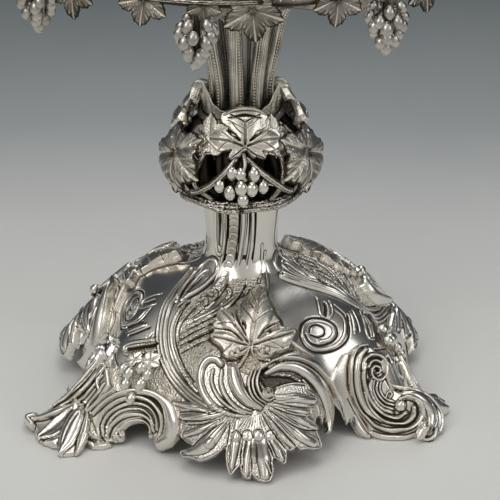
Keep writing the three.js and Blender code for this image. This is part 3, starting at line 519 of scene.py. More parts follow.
LEAF_SHADOW = outline("""
23.5,45 25.5,48.4 23.5,54.2 23.5,61.1 23,66.6 24.5,70.4 24,74.8 27.5,76.9 31,79.3 31.5,82.4 29,85.1
26.5,87.2 24.5,90.3 20,90.6 16.5,90 13,92.4 10,93 7.5,91.3 6,88.2 4.5,86.5 3,87.5 0.5,90 -3,92 -6.5,92
-9.5,90.6 -9.5,86.9 -12,84.8 -15.5,83.1 -18.5,80.7 -17,76.9 -19,71.8 -17.5,69 -18.5,64.2 -15.5,60.1
-9.5,60.8 -4,63.5 -3.5,58.7 -6.5,53.9 -1.5,50.5 4.5,49.8 8,46 16,45.3
""")
LEAF_SHADE = 0.36
SCALE_PITCH = 4.4
GROOVE_SHADE, EDGE_SHADE = 0.42, 0.3
SKIN_COLUMNS, SKIN_ROWS = 420, 380
SKIN_THICKNESS = 1.5


def relief(bearing, run):
    """The height, the matting and the darkening of the dome's chasing at bearings and runs: in its
    grooves, at the feet of its ridges and as a painted shadow round the raised panel leaf.
    """
    b, r = bearing.ravel(), run.ravel()
    base = dome(b, r)
    raised, sunk, matted, shade = np.zeros((4, len(b)))
    turns = (-PANEL_STEP, 0, PANEL_STEP)
    for turn in turns:
        for ground in MATTED:
            matted[inside(b - turn, r, ground)] = 1
        shade[inside(b - turn, r, LEAF_SHADOW)] = LEAF_SHADE
    for kind, half, height, points, _ in RELIEF:
        flat = spline(points, 6)
        lo, hi = flat.min(0), flat.max(0)
        wide = math.degrees((half + 1) / LINE[0, 0])
        for turn in turns:
            near = (b > lo[0] + turn - wide) & (b < hi[0] + turn + wide)
            near &= (r > lo[1] - half - 1) & (r < hi[1] + half + 1)
            if not near.any():
                continue
            line = dome(flat[:, 0] + turn, flat[:, 1])
            away, _, share = nearest(base[near], line)
            x = np.clip(away / half, 0, 1)
            dark = EDGE_SHADE * np.exp(-(((away - half - 0.15) / 0.3) ** 2))
            if kind == "groove":
                dark = GROOVE_SHADE * np.sqrt(1 - x**2)
            shade[near] = np.maximum(shade[near], dark)
            if kind == "groove":
                sunk[near] = np.minimum(sunk[near], -height * np.maximum(1 - x**2, 0))
                continue
            total = steps(line).sum()
            if kind == "ridge":
                ends = np.clip(np.minimum(share, 1 - share) * total / (2.5 * half), 0.25, 1)
                made = height * rounded(x, 2.2) * ends**0.5
            elif kind == "rim":
                made = height * rounded(x)
            elif kind == "band":
                ribs = 0.5 + 0.5 * np.cos(2 * np.pi * 1.5 * x)
                made = height * rounded(x, 4) * (0.5 + 0.5 * ribs)
                matted[near] *= x >= 1
            else:
                phase = np.mod(share * total / SCALE_PITCH - 0.55 * x**2, 1)
                made = height * (0.25 + 0.75 * (1 - phase)) * rounded(x, 3) * (x < 1)
            raised[near] = np.maximum(raised[near], made)
    return [values.reshape(bearing.shape) for values in (raised + sunk, matted, shade)]


def between(bearing, start, stop, ease):
    """A weight that is 1 between two bearings and slopes to 0 at them."""
    return np.clip((bearing - start) / ease, 0, 1) * np.clip((stop - bearing) / ease, 0, 1)


def rim_run(bearing):
    """How far down the dome's line its skin reaches: less behind the shell, beside it and behind
    the arch."""
    behind, beside = between(bearing, -27, 44, 5), between(bearing, 22, 43, 6)
    return DOME_RUN - 6 * behind - 9 * beside - 9 * between(bearing, -47, -31, 3)


def dome_sector():
    bearings, shares = np.linspace(-60, 60, SKIN_COLUMNS), np.linspace(0, 1, SKIN_ROWS)
    b, share = np.meshgrid(bearings, shares, indexing="xy")
    run = share * rim_run(b)
    height, matted, shade = relief(b, run)
    for axis in (0, 1) * 4:
        matted = (matted + np.roll(matted, 3, axis) + np.roll(matted, -3, axis)) / 3
    back = dome(b[::40], run[::40], -SKIN_THICKNESS)[::-1]
    rows = np.concatenate([dome(b, run, height), back], axis=0)
    none = np.zeros(back.shape[:2])
    matted, shade = np.concatenate([matted, none]), np.concatenate([shade, none])
    shape = Shape()
    shape.add(rows, grid_faces(len(rows), SKIN_COLUMNS)[:, ::-1], matted, shade)
    return shape.mesh("dome_sector", hollow_scale=0.3, rounds=8)


sector = dome_sector()
for k in range(PANELS):
    piece(f"dome_skin_{k + 1}", sector, "chased_silver", ["foot_dome"], bearing=k * PANEL_STEP)

# Bars and balls: the shares of a bar's size that its grooves and its waves take
GROOVED, SWOLLEN = 0.22, 0.07


def control(bearing, radius, height, lean):
    """A point with the way that is up from the metal there, which leans out from the vertical."""
    a = math.radians(lean)
    up = polar(bearing, math.sin(a), 0) + np.array([0, 0, math.cos(a)])
    return polar(bearing, radius, height), up


def spread(values, count):
    """Values eased over a count of places."""
    values = np.atleast_1d(np.asarray(values, float))
    if len(values) == 1:
        return np.full(count, values[0])
    return np.interp(np.linspace(0, 1, count), np.linspace(0, 1, len(values)), values)


def sweep(shape, controls, half, crown, under, count, around, ribs=0, end=1.0, waves=0):
    """A bar along a smooth line through controls, with count rows and around points over its top:
    half its width and its crown ease from end to end, and it lies under deep below the line."""
    line = resample(spline([place for place, _ in controls], 12), count)
    ups = np.stack([up for _, up in controls])
    share = np.linspace(0, 1, count)
    places = np.linspace(0, 1, len(controls))
    up = np.stack([np.interp(share, places, ups[:, k]) for k in range(3)], axis=1)
    tangent = unit(np.gradient(line, axis=0))
    side = unit(np.cross(tangent, up))
    up = unit(np.cross(side, tangent))
    half, crown = spread(half, count), spread(crown, count)
    length = steps(line).sum()
    scale = 1
    for part in (share, 1 - share):
        from_end = np.minimum(part * length / (half.max() * end + 1e-6), 1)
        scale = scale * np.sqrt(np.clip(1 - (1 - from_end) ** 2, 0.02, 1))
    a = np.linspace(0, np.pi, around)
    x, y = np.cos(a), np.sin(a) ** 0.75
    if ribs:
        y = y * (1 - GROOVED * (0.5 + 0.5 * np.cos(np.pi * ribs * (x + 1))))
    x = np.concatenate([x, np.linspace(-0.92, 0.92, 5)])
    top = np.concatenate([y, np.zeros(5)])
    bottom = np.concatenate([np.zeros(around), np.full(5, -1.0)])
    ripple = 1 + SWOLLEN * np.cos(2 * np.pi * waves * share) if waves else 1
    w = (half * scale * ripple)[:, None]
    h = (crown * scale)[:, None]
    rows = line[:, None, :] + side[:, None, :] * (w * x)[..., None]
    rows = rows + up[:, None, :] * (h * top + under * scale[:, None] * bottom)[..., None]
    columns = np.arange(len(x))
    faces = [*grid_faces(count, len(x), close_columns=True)]
    shape.add(rows, [*faces, columns[::-1], columns + (count - 1) * len(x)])


def orb(shape, centre, radius, axis=(0, 0, 1), stretch=1.0, sides=14, rings=9, nib=0.0):
    """A ball, or a grape that is drawn out along an axis with a nib at its end."""
    centre = np.asarray(centre)
    axis = unit(np.asarray(axis, float))
    other = unit(np.cross(axis, [0.3, 0.9, 0.21]))
    third = np.cross(axis, other)
    t = np.linspace(0, np.pi, rings + 2)[1:-1, None, None]
    a = np.linspace(0, 2 * np.pi, sides, endpoint=False)[None, :, None]
    along = -np.cos(t) * stretch - nib * np.exp(-((t / 0.35) ** 2))
    rows = centre + radius * np.sin(t) * (np.cos(a) * other + np.sin(a) * third) + radius * along * axis
    tips = [centre - radius * (stretch + nib) * axis, centre + radius * stretch * axis]
    faces = [*grid_faces(rings, sides, close_columns=True)]
    end = rings * sides
    for k in range(sides):
        beside = (k + 1) % sides
        faces += [[end, k, beside], [end - sides + beside, end - sides + k, end + 1]]
    shape.add(np.vstack([rows.reshape(-1, 3), *tips]), faces)


# Ornament drawn as the camera sees it. A picture point is (across, down) in the 500-unit frame,
# and each drawing is carried by the dome's face or by a smooth sheet through points in space.
PICTURE = 500
ELEVATION = math.radians(25.17)
DISTANCE = 1301.2
FOCAL = 2442.7
AIM = np.array([241.18, 215.31])
AHEAD = np.array([0, math.cos(ELEVATION), -math.sin(ELEVATION)])
UPWARD = np.array([0, math.sin(ELEVATION), math.cos(ELEVATION)])
EYE = np.array([0, -DISTANCE * math.cos(ELEVATION), 100 + DISTANCE * math.sin(ELEVATION)])
# The least gap under a carving, the least height that one keeps, how deep it sinks into the dome
# and how much a free sheet is eased between its points
FLOOR_GAP, LEAST_HEIGHT, DOME_BACK, SHEET_EASE = 0.25, 0.06, 0.7, 8.0
# How matt each kind of raised stroke is
DULL = {"spoon": 0.1, "lobe": 0.2, "roll": 0.0}
# Strokes: the places that a width is eased over, how far past its sizes one is worked out, the
# half width below which a cut is tarnished, by how much, and the metal that a cut leaves
EASED, MARGIN, NARROW, CUT_SHADE, WEB = 64, 7, 1.5, 0.3, 0.3
# Millimetres along the dome's face in a degree, for the pitch of a carving's grid
DEGREE = 1.65
# How far a free carving rises towards the eye, and the height from which its back is full
TO_EYE, FULL_BACK = 0.6, 2.5


def picture(points):
    """Where points in mm fall in the picture."""
    away = np.asarray(points, float) - EYE
    depth = away @ AHEAD
    across = AIM[0] + FOCAL * away[..., 0] / depth
    down = AIM[1] - FOCAL * (away @ UPWARD) / depth
    return np.stack([across, down], -1)


def in_space(spots, depth):
    """The points in mm at picture points, at a depth from the eye."""
    right = (spots[..., 0] - AIM[0]) / FOCAL
    down = (spots[..., 1] - AIM[1]) / FOCAL
    ray = AHEAD + right[..., None] * np.array([1.0, 0, 0]) - down[..., None] * UPWARD
    return EYE + depth[..., None] * ray


def thin_plate(r2):
    return 0.5 * r2 * np.log(np.maximum(r2, 1e-9))


def depth_sheet(controls):
    """A smooth depth over the picture through points in mm."""
    controls = np.asarray(controls, float)
    spots = picture(controls)
    depth = (controls - EYE) @ AHEAD
    n = len(spots)
    gap = ((spots[:, None] - spots[None]) ** 2).sum(-1)
    flat = np.column_stack([np.ones(n), spots])
    system = np.block([[thin_plate(gap) + SHEET_EASE * np.eye(n), flat], [flat.T, np.zeros((3, 3))]])
    weight = np.linalg.solve(system, np.concatenate([depth, np.zeros(3)]))

    def at(where):
        r2 = ((where[..., None, :] - spots) ** 2).sum(-1)
        return thin_plate(r2) @ weight[:n] + weight[n] + where @ weight[n + 1 :]

    return at


def carve(spots, drawing):
    """The height in mm, the matting and the darkening that strokes give to picture points: oxide in
    narrow cuts, and oxide and painted shade from the shade strokes.
    """
    flat = spots.reshape(-1, 2)
    height, cut, boss, matted, shade = np.zeros((5, len(flat)))
    for kind, half, level, points, extra in drawing:
        points = np.asarray(points, float)
        reach = MARGIN + {"plate": 0, "clip": 20}.get(kind, np.max(half))
        lo, hi = points.min(0) - reach, points.max(0) + reach
        near = np.all((flat > lo) & (flat < hi), axis=1)
        here = flat[near]
        if not len(here):
            continue
        if kind in ("plate", "clip", "shade"):
            away = nearest(here, np.vstack([points, points[:1]]))[0]
            within = inside(here[:, 0], here[:, 1], points)
            if kind == "shade":
                dark = np.where(within, level * np.clip(away / half, 0, 1), 0)
                shade[near] = np.maximum(shade[near], dark)
                continue
            if kind == "clip":
                height[near] *= np.where(within, np.clip(away / half, 0.25, 1) ** 0.5, 0)
                continue
            made = np.where(within, level * np.clip(away / (half + 1e-6), 0, 1) ** 0.5, 0)
        elif kind == "beads":
            line = resample(spline(points, 12), int(extra)) if extra else points
            gap = np.sqrt(((here[:, None] - line[None]) ** 2).sum(-1)).min(1)
            boss[near] = np.maximum(boss[near], level * rounded(gap / half))
            continue
        else:
            away, side, share = nearest(here, spline(points, 8) if len(points) > 2 else points)
            places = np.linspace(0, 1, EASED)
            eased = (spread(values, EASED) for values in (half, level))
            wide, rise = (np.interp(share, places, values) for values in eased)
            x = np.clip(away / wide, 0, 1)
            if kind == "cut":
                cut[near] = np.maximum(cut[near], rise * (1 - x**2))
                if np.max(half) < NARROW:
                    dark = CUT_SHADE * np.minimum(rise, 1) * (1 - x**2)
                    shade[near] = np.maximum(shade[near], dark)
                continue
            rib = 0.5 + 0.5 * np.cos(np.pi * extra * (x * side + 1))
            if kind == "spoon":
                wall = np.clip((1 - x) / 0.16, 0, 1) ** 0.5
                made = rise * (0.74 + 0.26 * x**2) * wall * (1 - 0.07 * rib)
            elif kind == "lobe":
                made = rise * rounded(x, 2.6) * (1 - 0.2 * rib) * (x < 1)
            else:
                made = rise * rounded(x)
        matted[near] = np.where(made > height[near], DULL.get(kind, extra), matted[near])
        height[near] = np.maximum(height[near], made)
    made = height + boss - np.minimum(cut, np.maximum(height - WEB, 0))
    return [values.reshape(spots.shape[:-1]) for values in (made, matted, shade)]


def sheet_faces(keep):
    """Faces of a sheet with a top and an underside, over the cells of a grid that are kept."""
    rows, columns = keep.shape[0] + 1, keep.shape[1] + 1
    index = np.arange(rows * columns).reshape(rows, columns)
    below = rows * columns
    a, b, c, e = index[:-1, :-1], index[:-1, 1:], index[1:, 1:], index[1:, :-1]
    faces = [np.stack([a, e, c, b], -1)[keep], np.stack([a, b, c, e], -1)[keep] + below]
    wide = np.pad(keep, 1)
    for beside, start, end in (
        (wide[:-2, 1:-1], a, b),
        (wide[2:, 1:-1], c, e),
        (wide[1:-1, :-2], e, a),
        (wide[1:-1, 2:], b, c),
    ):
        faces.append(np.stack([start, end, end + below, start + below], -1)[keep & ~beside])
    return np.vstack(faces)


def sheet(top, under, height, matted, shade):
    """A shape from two faces, kept where its height is more than the least."""
    keep = height > LEAST_HEIGHT
    faces = sheet_faces(keep[:-1, :-1] | keep[1:, :-1] | keep[:-1, 1:] | keep[1:, 1:])
    points = np.concatenate([top.reshape(-1, 3), under.reshape(-1, 3)])
    points[:, 2] = np.maximum(points[:, 2], FLOOR_GAP)
    matted, shade = (np.pad(values.ravel(), (0, values.size)) for values in (matted, shade))
    used = np.zeros(len(points), bool)
    used[faces.ravel()] = True
    order = np.cumsum(used) - 1
    shape = Shape()
    shape.add(points[used], order[faces], matted[used], shade[used])
    return shape


def dome_carving(drawing, bearings, runs, turn=0.0, seen_at=3.0, pitch=0.42):
    """Strokes carried by the dome's face and by its line drawn on past the rim."""
    columns = int((bearings[1] - bearings[0]) * DEGREE / pitch)
    rows = int((runs[1] - runs[0]) / pitch)
    b, r = np.meshgrid(np.linspace(*bearings, columns), np.linspace(*runs, rows), indexing="xy")
    height, matted, shade = carve(picture(dome(b + turn, r, seen_at)), drawing)
    base = dome(b, r, 0.2)
    normal = unit(dome(b, r, 1.2) - base)
    top = base + normal * height[..., None]
    return sheet(top, dome(b, r, -DOME_BACK), height, matted, shade)


def free_carving(drawing, box, controls, turn=0.0, pitch=0.7, back=2.6):
    """Strokes carried by a smooth sheet that stands free of the dome, drawn where the copy at a
    bearing of turn is seen."""
    across, down = np.arange(box[0], box[2], pitch), np.arange(box[1], box[3], pitch)
    spots = np.stack(np.meshgrid(across, down, indexing="xy"), -1)
    depth = depth_sheet(controls)(spots)
    height, matted, shade = carve(spots, drawing)
    base = in_space(spots, depth)
    normal = unit(np.cross(np.gradient(base, axis=1), -np.gradient(base, axis=0)))
    facing = unit(EYE - base)
    normal = unit(normal + TO_EYE * facing)
    top = base + normal * height[..., None]
    full = np.clip(height / FULL_BACK, 0.1, 1)
    under = base - normal * 0.3 - facing * back * full[..., None]
    return sheet(turned_z(top, -turn), turned_z(under, -turn), height, matted, shade)


def fan(root, tips, depth=0.6, shares=(0.12, 0.5, 0.86)):
    """Fine grooves from near a root towards points along an edge."""
    root = np.asarray(root, float)
    widths, depths = [0.35, 0.6, 0.4], [0.5 * depth, depth, 0.3 * depth]
    lines = [[root + (tip - root) * share for share in shares] for tip in outline(tips)]
    return [("cut", widths, depths, line, 0) for line in lines]


CREST = strokes("""
plate 3 2.4 =0.3 224,357 211,354 199,360 195,374 196,390 203,404 216,416 236,421 258,414 271,403 270,392
  262,380 262,372 268,366 256,366 248,372 238,368 231,366
roll 4,4.6,4.6,4.4,3.8,2.4 5,5,5,5,4.6,3.6 221,364 216.5,359.5 209,359 203,364.5 199.8,374 200.3,385
  204.5,396 212,405.5 222,411.5 234,415.5 247,416.5
roll 1.4,2,2,1.4 4.6 213,369.5 211.5,380 215,391.5 222.5,401.5 233,409.5 245,414
roll 1.6,2.5,2.5,1.6 4.9 222,370 220.8,382 224.5,394 231.5,403.5 241,410.5 251,413.5
roll 5.5,7.6,7.4,5.5,3 6 233,368 235,379 239.5,391 248,401.5 260,408.5
roll 1.2,1.7,1.7,1.2 5.4 252,371.5 248.8,381 249.6,391 254.8,400 263,406
+ 255.8,370.5 252.6,381 253.5,390.5 258,398.6 265.5,403.6
roll 1.4,2.3,2.4,2.2,1.2 5.7 260.5,369 257,379.5 258,389 262,396.8 268.5,400.8 274,398
roll 1.4,3,3.2,1.8 3.6 303,380 312,392 317.4,404 319.6,415
plate 2 1.7 336,391 341,400 344.5,414 349,423 352,419 359,431 366,439 371,430 362,415 354,400 349,385
  349,365 352,350 344,353 337,366 332,380
cut 1 1.2 340.5,400 343.5,408 345.5,416
cut 0.9 1 349,398 356,412 364,424 369,431
""")
SHELL_EDGE = outline("""
276,388 290,384 305,385 306,390 313,395 317.6,401 313,406 307,407.6 309.4,409 310.6,413 306,417 312,422
317.6,428 316,431 319,439 320.4,447 313,448.6 307,448 300,449 297,446 290,450 286,449 286,455 284.6,463
280,461 273.4,457 272,464 273,470 271,478 268.6,481 260,480 254,476 251.6,472 249.4,478 244.6,476
241.4,470 240.4,464.6 235,470 231,474 228,468 226.4,456 227,443.6 220,451 212,456 200,460 190,457
183,456 181,452.6 190,449 194,446 187,441.6 181.6,436 184,430 188,424.6 179,420 172,411 171,402 174,399
184,402 193,406.6 204,411 216,415 232,414 250,412 264,404 272,396
""")
# Its shade strokes paint oxide and shade round the pearl, under the middle lobe and on the petals
SHELL = strokes("""
plate 1.2 1 =1 256,371 266,367 282,365 300,371 314,384 322,400 316,406 306,392 290,388 277,391 272,400
  262,399 256,386
plate 1.6 2.3 =1 264,376 280,366.6 298,370 312,380 322,394 327,410 324,424 319,408 312,394 303,384
  290,377 276,376
plate 1.2 3.3 =0.35 @
roll 4,6.6,5.6 3.8,4.8,4.6 272,397 300,399 314,400.6
roll 3,3.8 3.8,4.4 288,409.6 307,412.4
roll 4,5.6,3.8 4,4.8,4.6 284,411.6 304,422 315,428
roll 5,8.4,7 4,5,5 278,418 298,433.6 313.6,443
roll 3.4,4.8,3.4 4,4.8,4.6 272,422 283,438 293,447
roll 3,5,3.6 4.4,5.2,4.8 272,442 277,450 281.6,459
roll 10,12,9.4,6.6 4,4.8,5,4.8 256,418 258,440 263.6,461 265,476
roll 6,5.6,4.2 4.4,5,4.8 251,440 247,460 246,473.6
roll 5,6.2,3.2 4,4.9,4.6 238,422 235,445 231.6,468
roll 4,9,9.4,4.4 4,4.9,5,4.6 226,420 214,436 202,448 188,453
roll 4,5.2,3.4 4,4.8,4.6 214,424 198,430.6 186,435
roll 4,5.8,4.2 4,4.9,4.6 222,414.6 200,417 183,418
roll 3,5,3.8 3.8,4.7,4.6 206,411.6 188,406 176,403
roll 1 4.3 @58
roll 6,8.4,7 4.4,4.9,4.5 254,436 253.6,448 252.6,459
shade 3 0.32 256,374 264,376 280,371 298,372 310,381 318,392 316,398 306,391 305,386 290,385 276,388
  273,395 272,402 262,400 258,388
shade 5 0.3 238,441 258,440 280,441 276,456 262,462 246,462 234,458
shade 5 0.24 240,412 226,418 196,410 182,420 200,430 208,446 226,436 240,426
+ 262,410 290,402 300,412 300,428 296,440 280,430
beads 5.2 1 247,436 258.4,435.8 271,436 236,437 210,444
roll 0.8,1.7,1.2 5,5.8,5.2 263.6,457 267.4,466 270.6,474
cut 0.6,1,0.8 0.8,1.5,1.6 272,402 290,406 309,408
+ 270,406 289,414 306,417
+ 268,409 288,423 304,430 316,430.6
+ 264,412 280,429 296,446
+ 262,414 272,431 281,443 287,450
+ 266,441 270.6,450 273.4,457
+ 251.8,458 251.6,472
+ 243,440 241,452 240.4,465
+ 230,420 229,432 227,444
+ 224,422 210,431 198,441 193,447
+ 220,419 204,424 188,425
+ 212,414.6 196,411.6 180,412
cut 0.5,0.8,0.4 0.8,1,0.4 242.4,440 242.4,433.4 246.6,430 251,431.6 252.6,438
+ 253,438.6 253.8,431.6 258.4,429.4 263,431.6 264.4,438
+ 265.8,440 265.8,433 270.6,429.8 275.8,432 277.4,438.6
+ 231.4,433.6 236,430.6 240.4,434 240.8,440
roll 3,5.6,6.8,6.8,5.4,2.4 4.4,5.2,5.6,5.4,4.6 266,373.6 280,366.6 296,366.8 311,375.4 322.6,389.4
  329,406 330.6,421 329.6,431
roll 0.9,1.5,1.6,1.4 6.2,6.6,6.2,5.4 261,369 276,360.4 294,359 309,364.4 321.4,374 331,386 336,397
""", SHELL_EDGE)
SHELL += fan((262, 404), """
313,396 315,402 305,412 309,422 314,427 316,436 318,442 313,447 304,447 290,448 283,456
""")
SHELL += fan((256, 404), """
236,432 240,432 244,431 247.6,430 251,430 254.6,430 258,429 262,430 266,430 270,430 274,431
""", 0.8, (0.45, 0.7, 1.0))
SHELL += fan((238, 408), """
229,436 222,446 213,451 204,452 195,451 190,440 187,432 184,421 180,415 178,407 180,403
""", 0.7)
FOOT_FACE = strokes("""
plate 2.2 2.6 362,343 352,350 347.5,365 347,382 350,398 357,412 366,424 369,431 373,436 381,439 392,441
  408,440.6 414,438.6 421,441 427,443 434,441 440.5,432 443.5,419 438.5,407 430.5,398.4 420,392.6
  410,390.4 399,392.6 391,388 386,380 388,370 384.6,360 377,353.6 371,347
roll 3.2,3.8,3.8,3.2 3.6 371,433 382,437 394,438 406,437.4 415,434
roll 2.4,4.2,3.8,2.2 3.6 354,416 358,426 364,434 368.4,437
roll 3.2,4.8,5,4.4,3.2 4.4 364,350 358,358 356,370 356.6,384 360,398 368,411 381,421
roll 1.2,1.9,2,1.6 4.8,5.6,5.4,4.6 366,345 357,347.6 351.8,356 350,368 350,382 352.8,396 359,409 366,418
roll 1.6,2.4,2.8,3,2.8,2.2,1.6 5.2,5.6,6,6.4,6.6 364,415 374,425.6 385,430.4 396,431.2 407,428.2
  415.6,421.2 419,411.6 416.4,403.4 409,399 401.4,400
roll 1.4,2.4,2.8,2.6,1.6 4.8,5.2,5.6,5.6 363.6,392 367.4,404 375.4,414.4 386,421.6 397,423.6 406,421
  412,414.4 413,407
roll 2,2.6,2.6,2.4,2 5.6 363.6,364 362.4,374 363.6,386 368.6,398.6 377,408.6 388,415.2 399,416.4
  406.6,411.6
roll 2.8 4.7 369.6,380 369.4,391 374,401 382,408.4 393,411.6
beads 1.5 1 =6 369.6,381 369.4,391 374,401 382,408.4 393,411.6
roll 1,1.5,1.1 4.8 373,378 371.4,388 375,397.8 383,405.2 394,408.4
roll 1,1.5,1.1 4.6 376.4,380 375,389 378.8,397 386,402.6 394.6,404.8
roll 1,1.4,1 4.2 379.6,380.6 378.6,389 382.2,396 388,400 394.6,401.8
roll 1.4,2.2,2.3,2.1,1.7,1.2 5.8,6,6,6.6 361.4,370 362.8,361 369,356 377.4,356.6 383.4,362 385.2,370.4
  382.4,377.4 376.6,379.8 371,377 369.2,371.4 372.2,367.2 376.6,368.6 377.4,372.4 374.4,373.8
roll 1.2,1.8,1.4 5.6 366.6,367.6 369.4,362.6 374.4,361.6 379.4,365.2 380.6,371
roll 0.9,1.4,1 4 386,398 387.2,394 390.6,392.4 392.8,395 390.4,398.4
roll 1.4,2.2,2.4,2.2,1.6 3.6,4,3.8,3.2,2.8 385.4,377 391,384.6 400,388.8 412,391 424,395.4 434,403
  440.4,413 442.2,423 440,432
roll 3.2,5,6.2,6.6,5.8,3.4 3.8,4.2,4.2,4,3.6 404,395 414,396 423.4,401.4 429.4,410.4 430.4,421
  427.6,430.6 422.4,437.4
beads 1 0.6 =22 430,404.6 434.6,412 436,421 434,431
roll 1.6,2.5,2.4,1.4 5.8 417,431.6 420,438.2 427,440.8 433.2,437.4 435.6,430
plate 2.6 2.4 420.6,439 423,446.4 429,449.6 433.4,446 434.6,439
beads 5.4 3.4 401.4,405.4
""")
ARCH_FACE = strokes("""
plate 2.4 2 85,412 96,402 107,394 120,388 134,386 148,387 160,391 170,399 176,410 178.4,424 178,437
  170,446 158,447.4 152.6,441 150.6,434 151.6,427 146,421.6 138,419.6 128,421.8 121.6,428 121,439.6
  113,441 103,440.6 95,432 90,421
roll 2.2,3,3.4,3.8,5,7.6,8.8,6.2 3.8,4.6,5.2,6,6.2,4.4 92,414 102,404.4 115,396 130,391.4 145,391.8
  157,395.6 166.4,404 171,416 171.4,428.6 166.6,438.6 159.4,443.4
roll 1.2,1.9,2,2.2,2.4,1.6 4.2,4.8,5.2,5.2,4.2 99,436 97.6,426 102.4,414.4 112.6,404.6 126,398.6
  140.6,398 152,402.8 160,412.6 162.4,424 159.6,434.6 155.4,442
roll 1,1.4,1.5,1.2 4.2 103.4,436 102.6,426 107.6,415.6 117.4,408 129,403.6 141,404 151,409 156.6,418.6
  157,430
roll 0.9,1.2,1 3.8 106.4,434 107.4,426 113,416.6 122,410.8 132.6,408.6 143,410 150,416 153.6,425.6
roll 1.1,1.7,1.8,1.3 4.4 107,437.6 109.4,429 115.6,421.6 124.6,416.4 134.6,414.4 144,416 151,422.4
  153.8,431.6
roll 1.1,1.4,1.2 3.6 113.6,438.6 118,430.6 125,423.6 134,420.6 143,421 149,426 150.4,433
beads 2.6 2.2 117,437 149.2,434.6
lobe 1.6,4,4.4,1.4 3.4 =3 88,422 92,433 99,442 108,445
roll 1,1.8,1.6 4.2 84,415 95,404 104,396 113,390.6
""")
TOE_LEAF = strokes("""
plate 2.4 2 104,362 94,366 86,376 76,390 64,400 50,409 40,415 34,424 36,437 40,443 52,447.6 57.6,448
  60,458 70,456.6 76,456 84,449 88,437 90,420 98,408 104,396 112,386 110,370
roll 1.8,2.9,3.1,2.5,1.4 2.8,3.6,3.6,3 99,361 89,373 79,385 67,396 54,406
roll 1.2,2,2.1,1.2 3.4,4,3.6 102,369 93,380 83,390 72,399 59,407.6
+ 104,376 95,386 86,395 76,403 64,411
roll 1.4,3.2,3.2,1.8 3,4,3.4 107,366 101,374 98.4,383 101,391
roll 1.2,2.6,2.6,1.4 3.2,3.6,3.2 106,384 99,393 91,402.6 85.6,411.6
roll 2.4,4.6,5,4,2.6 5,5.6,5.2,4.6 78,402.6 65.6,409.2 52.6,414.6 41.6,419 33,421
roll 3.8,4.6,3.8 6 35.6,416.6 28.8,420 33,427
spoon 2.4,7.2,9.4,7.6,2 5,5.4,4.6 =2 80,407.4 67,421 53,432.4 39.6,439.6
roll 1.6,3.8,3.9,1.8 3.4,3.6,2.8 70,431 58,441 44.6,444.4
roll 2.6,8.2,9.8,8.4,2.6 5,6,5.8,4.4 83,408.4 75.4,424 68,440 61,455
roll 1.8,5,5.6,2.2 5.2,6,4.4 87,414.6 85.4,430 81,444 76.4,455
roll 1.4,3,2.8,1.4 5.2,5.2,4.2 84,432 92,437 101,441
plate 2.2 2.2 86,440 96,443 108,441 112,446 104,450 92,449.6
cut 0.9,1.3,0.9 1.8,2.6,1.6 98.6,366.6 90,377 80,388 68,398.6
cut 0.8,1.1,0.8 1.8,2.4,1.6 101.6,374.6 92.8,384.4 83,394 73,402
cut 0.7,1,0.7 0.6,1.2,0.7 79.6,416 71.6,431 64,447
cut 0.6,1,0.6 1.2,1.6,1 92.6,371 84,381 75,390.4
beads 3.4 2.6 82,406.6
""")
# Bearings and runs on the dome, and bearings, radii and heights off it, that carry a sheet
FOOT_ON_DOME = outline("""
59,104 52,103 50.5,110 45,123 44,132 45,142 50,119 49,134 52.5,147 54.5,114 53.5,123 54,135 60,112
57.5,121 57,130
""")
FOOT_TOE = outline("""
49.4,99.6,3.5 51.6,106.4,3 53.6,103.4,9 54.8,110.5,4 55.3,109.3,12 56.6,109.9,17 57.7,106.4,21
59.2,103.6,23 61.6,108.6,20 62,113.2,15.6 61.6,116.4,10 59.6,119,5 56.9,119.6,2 58.6,112,12
""")
LEAF_ON_DOME = outline("67,110 64.5,122 71,114 68,124 74,104 62,104 73,128")
LEAF_TOE = outline("""
62.6,100.5,21 59.6,108.6,14.6 57.6,114.6,11.6 54.6,119.6,9 56,120.5,7 64.1,98.9,18 61.7,105.1,13.4
66,106,13 68.6,113,7.4 70.4,119.7,3.4 71.4,124.3,1.6 63.6,112.2,8 63.5,119.6,3.4 70.1,98.2,12
73.1,101.2,7.4 74.6,102.3,3 76.4,104.3,1.4 64.4,125.6,1.6
""")


def carriers(on_dome, lift, off_dome, push, turn=0.0):
    """Points in mm for a sheet, where those off the dome are pushed away from the eye."""
    carried = [dome(bearing - turn, run, lift) for bearing, run in on_dome]
    return carried + [polar(bearing - turn, *rest) + AHEAD * push for bearing, *rest in off_dome]


def panel_ornament():
    shape = dome_carving(CREST + SHELL, (-36, 58), (84, 157.4), pitch=0.34)
    for place, radius in ((9.0, 110.2, 6.6), 3.0), ((-3.6, 95.8, 4.4), 2.2):
        orb(shape, dome(*place), radius, axis=dome_up(9, 110), stretch=0.9)
    return shape


def foot_ornament():
    """The face of a scroll foot, drawn on the right foot."""
    controls = carriers(FOOT_ON_DOME, 1.0, FOOT_TOE, 3.8)
    return free_carving(FOOT_FACE, (340, 338, 452, 452), controls)


def toe_leaf_ornament():
    """The back and the toe leaf of a scroll foot, drawn on the left foot."""
    controls = carriers(LEAF_ON_DOME, 0.8, LEAF_TOE, 1.6, turn=PANEL_STEP)
    return free_carving(TOE_LEAF, (20, 358, 116, 462), controls, turn=-PANEL_STEP)


def arch_ornament():
    """The fluted arch, drawn on the left of the front panel."""
    return dome_carving(ARCH_FACE, (58, 102), (96, 157), turn=-PANEL_STEP)


def reshaped(shape, change):
    """The same shape with its points moved by a function of them and their plan radius."""
    made = Shape()
    made.faces, made.count = shape.faces, shape.count
    made.matted, made.tarnish_and_shade = shape.matted, shape.tarnish_and_shade
    made.points = [change(points.copy(), np.hypot(*points[:, :2].T)) for points in shape.points]
    return made


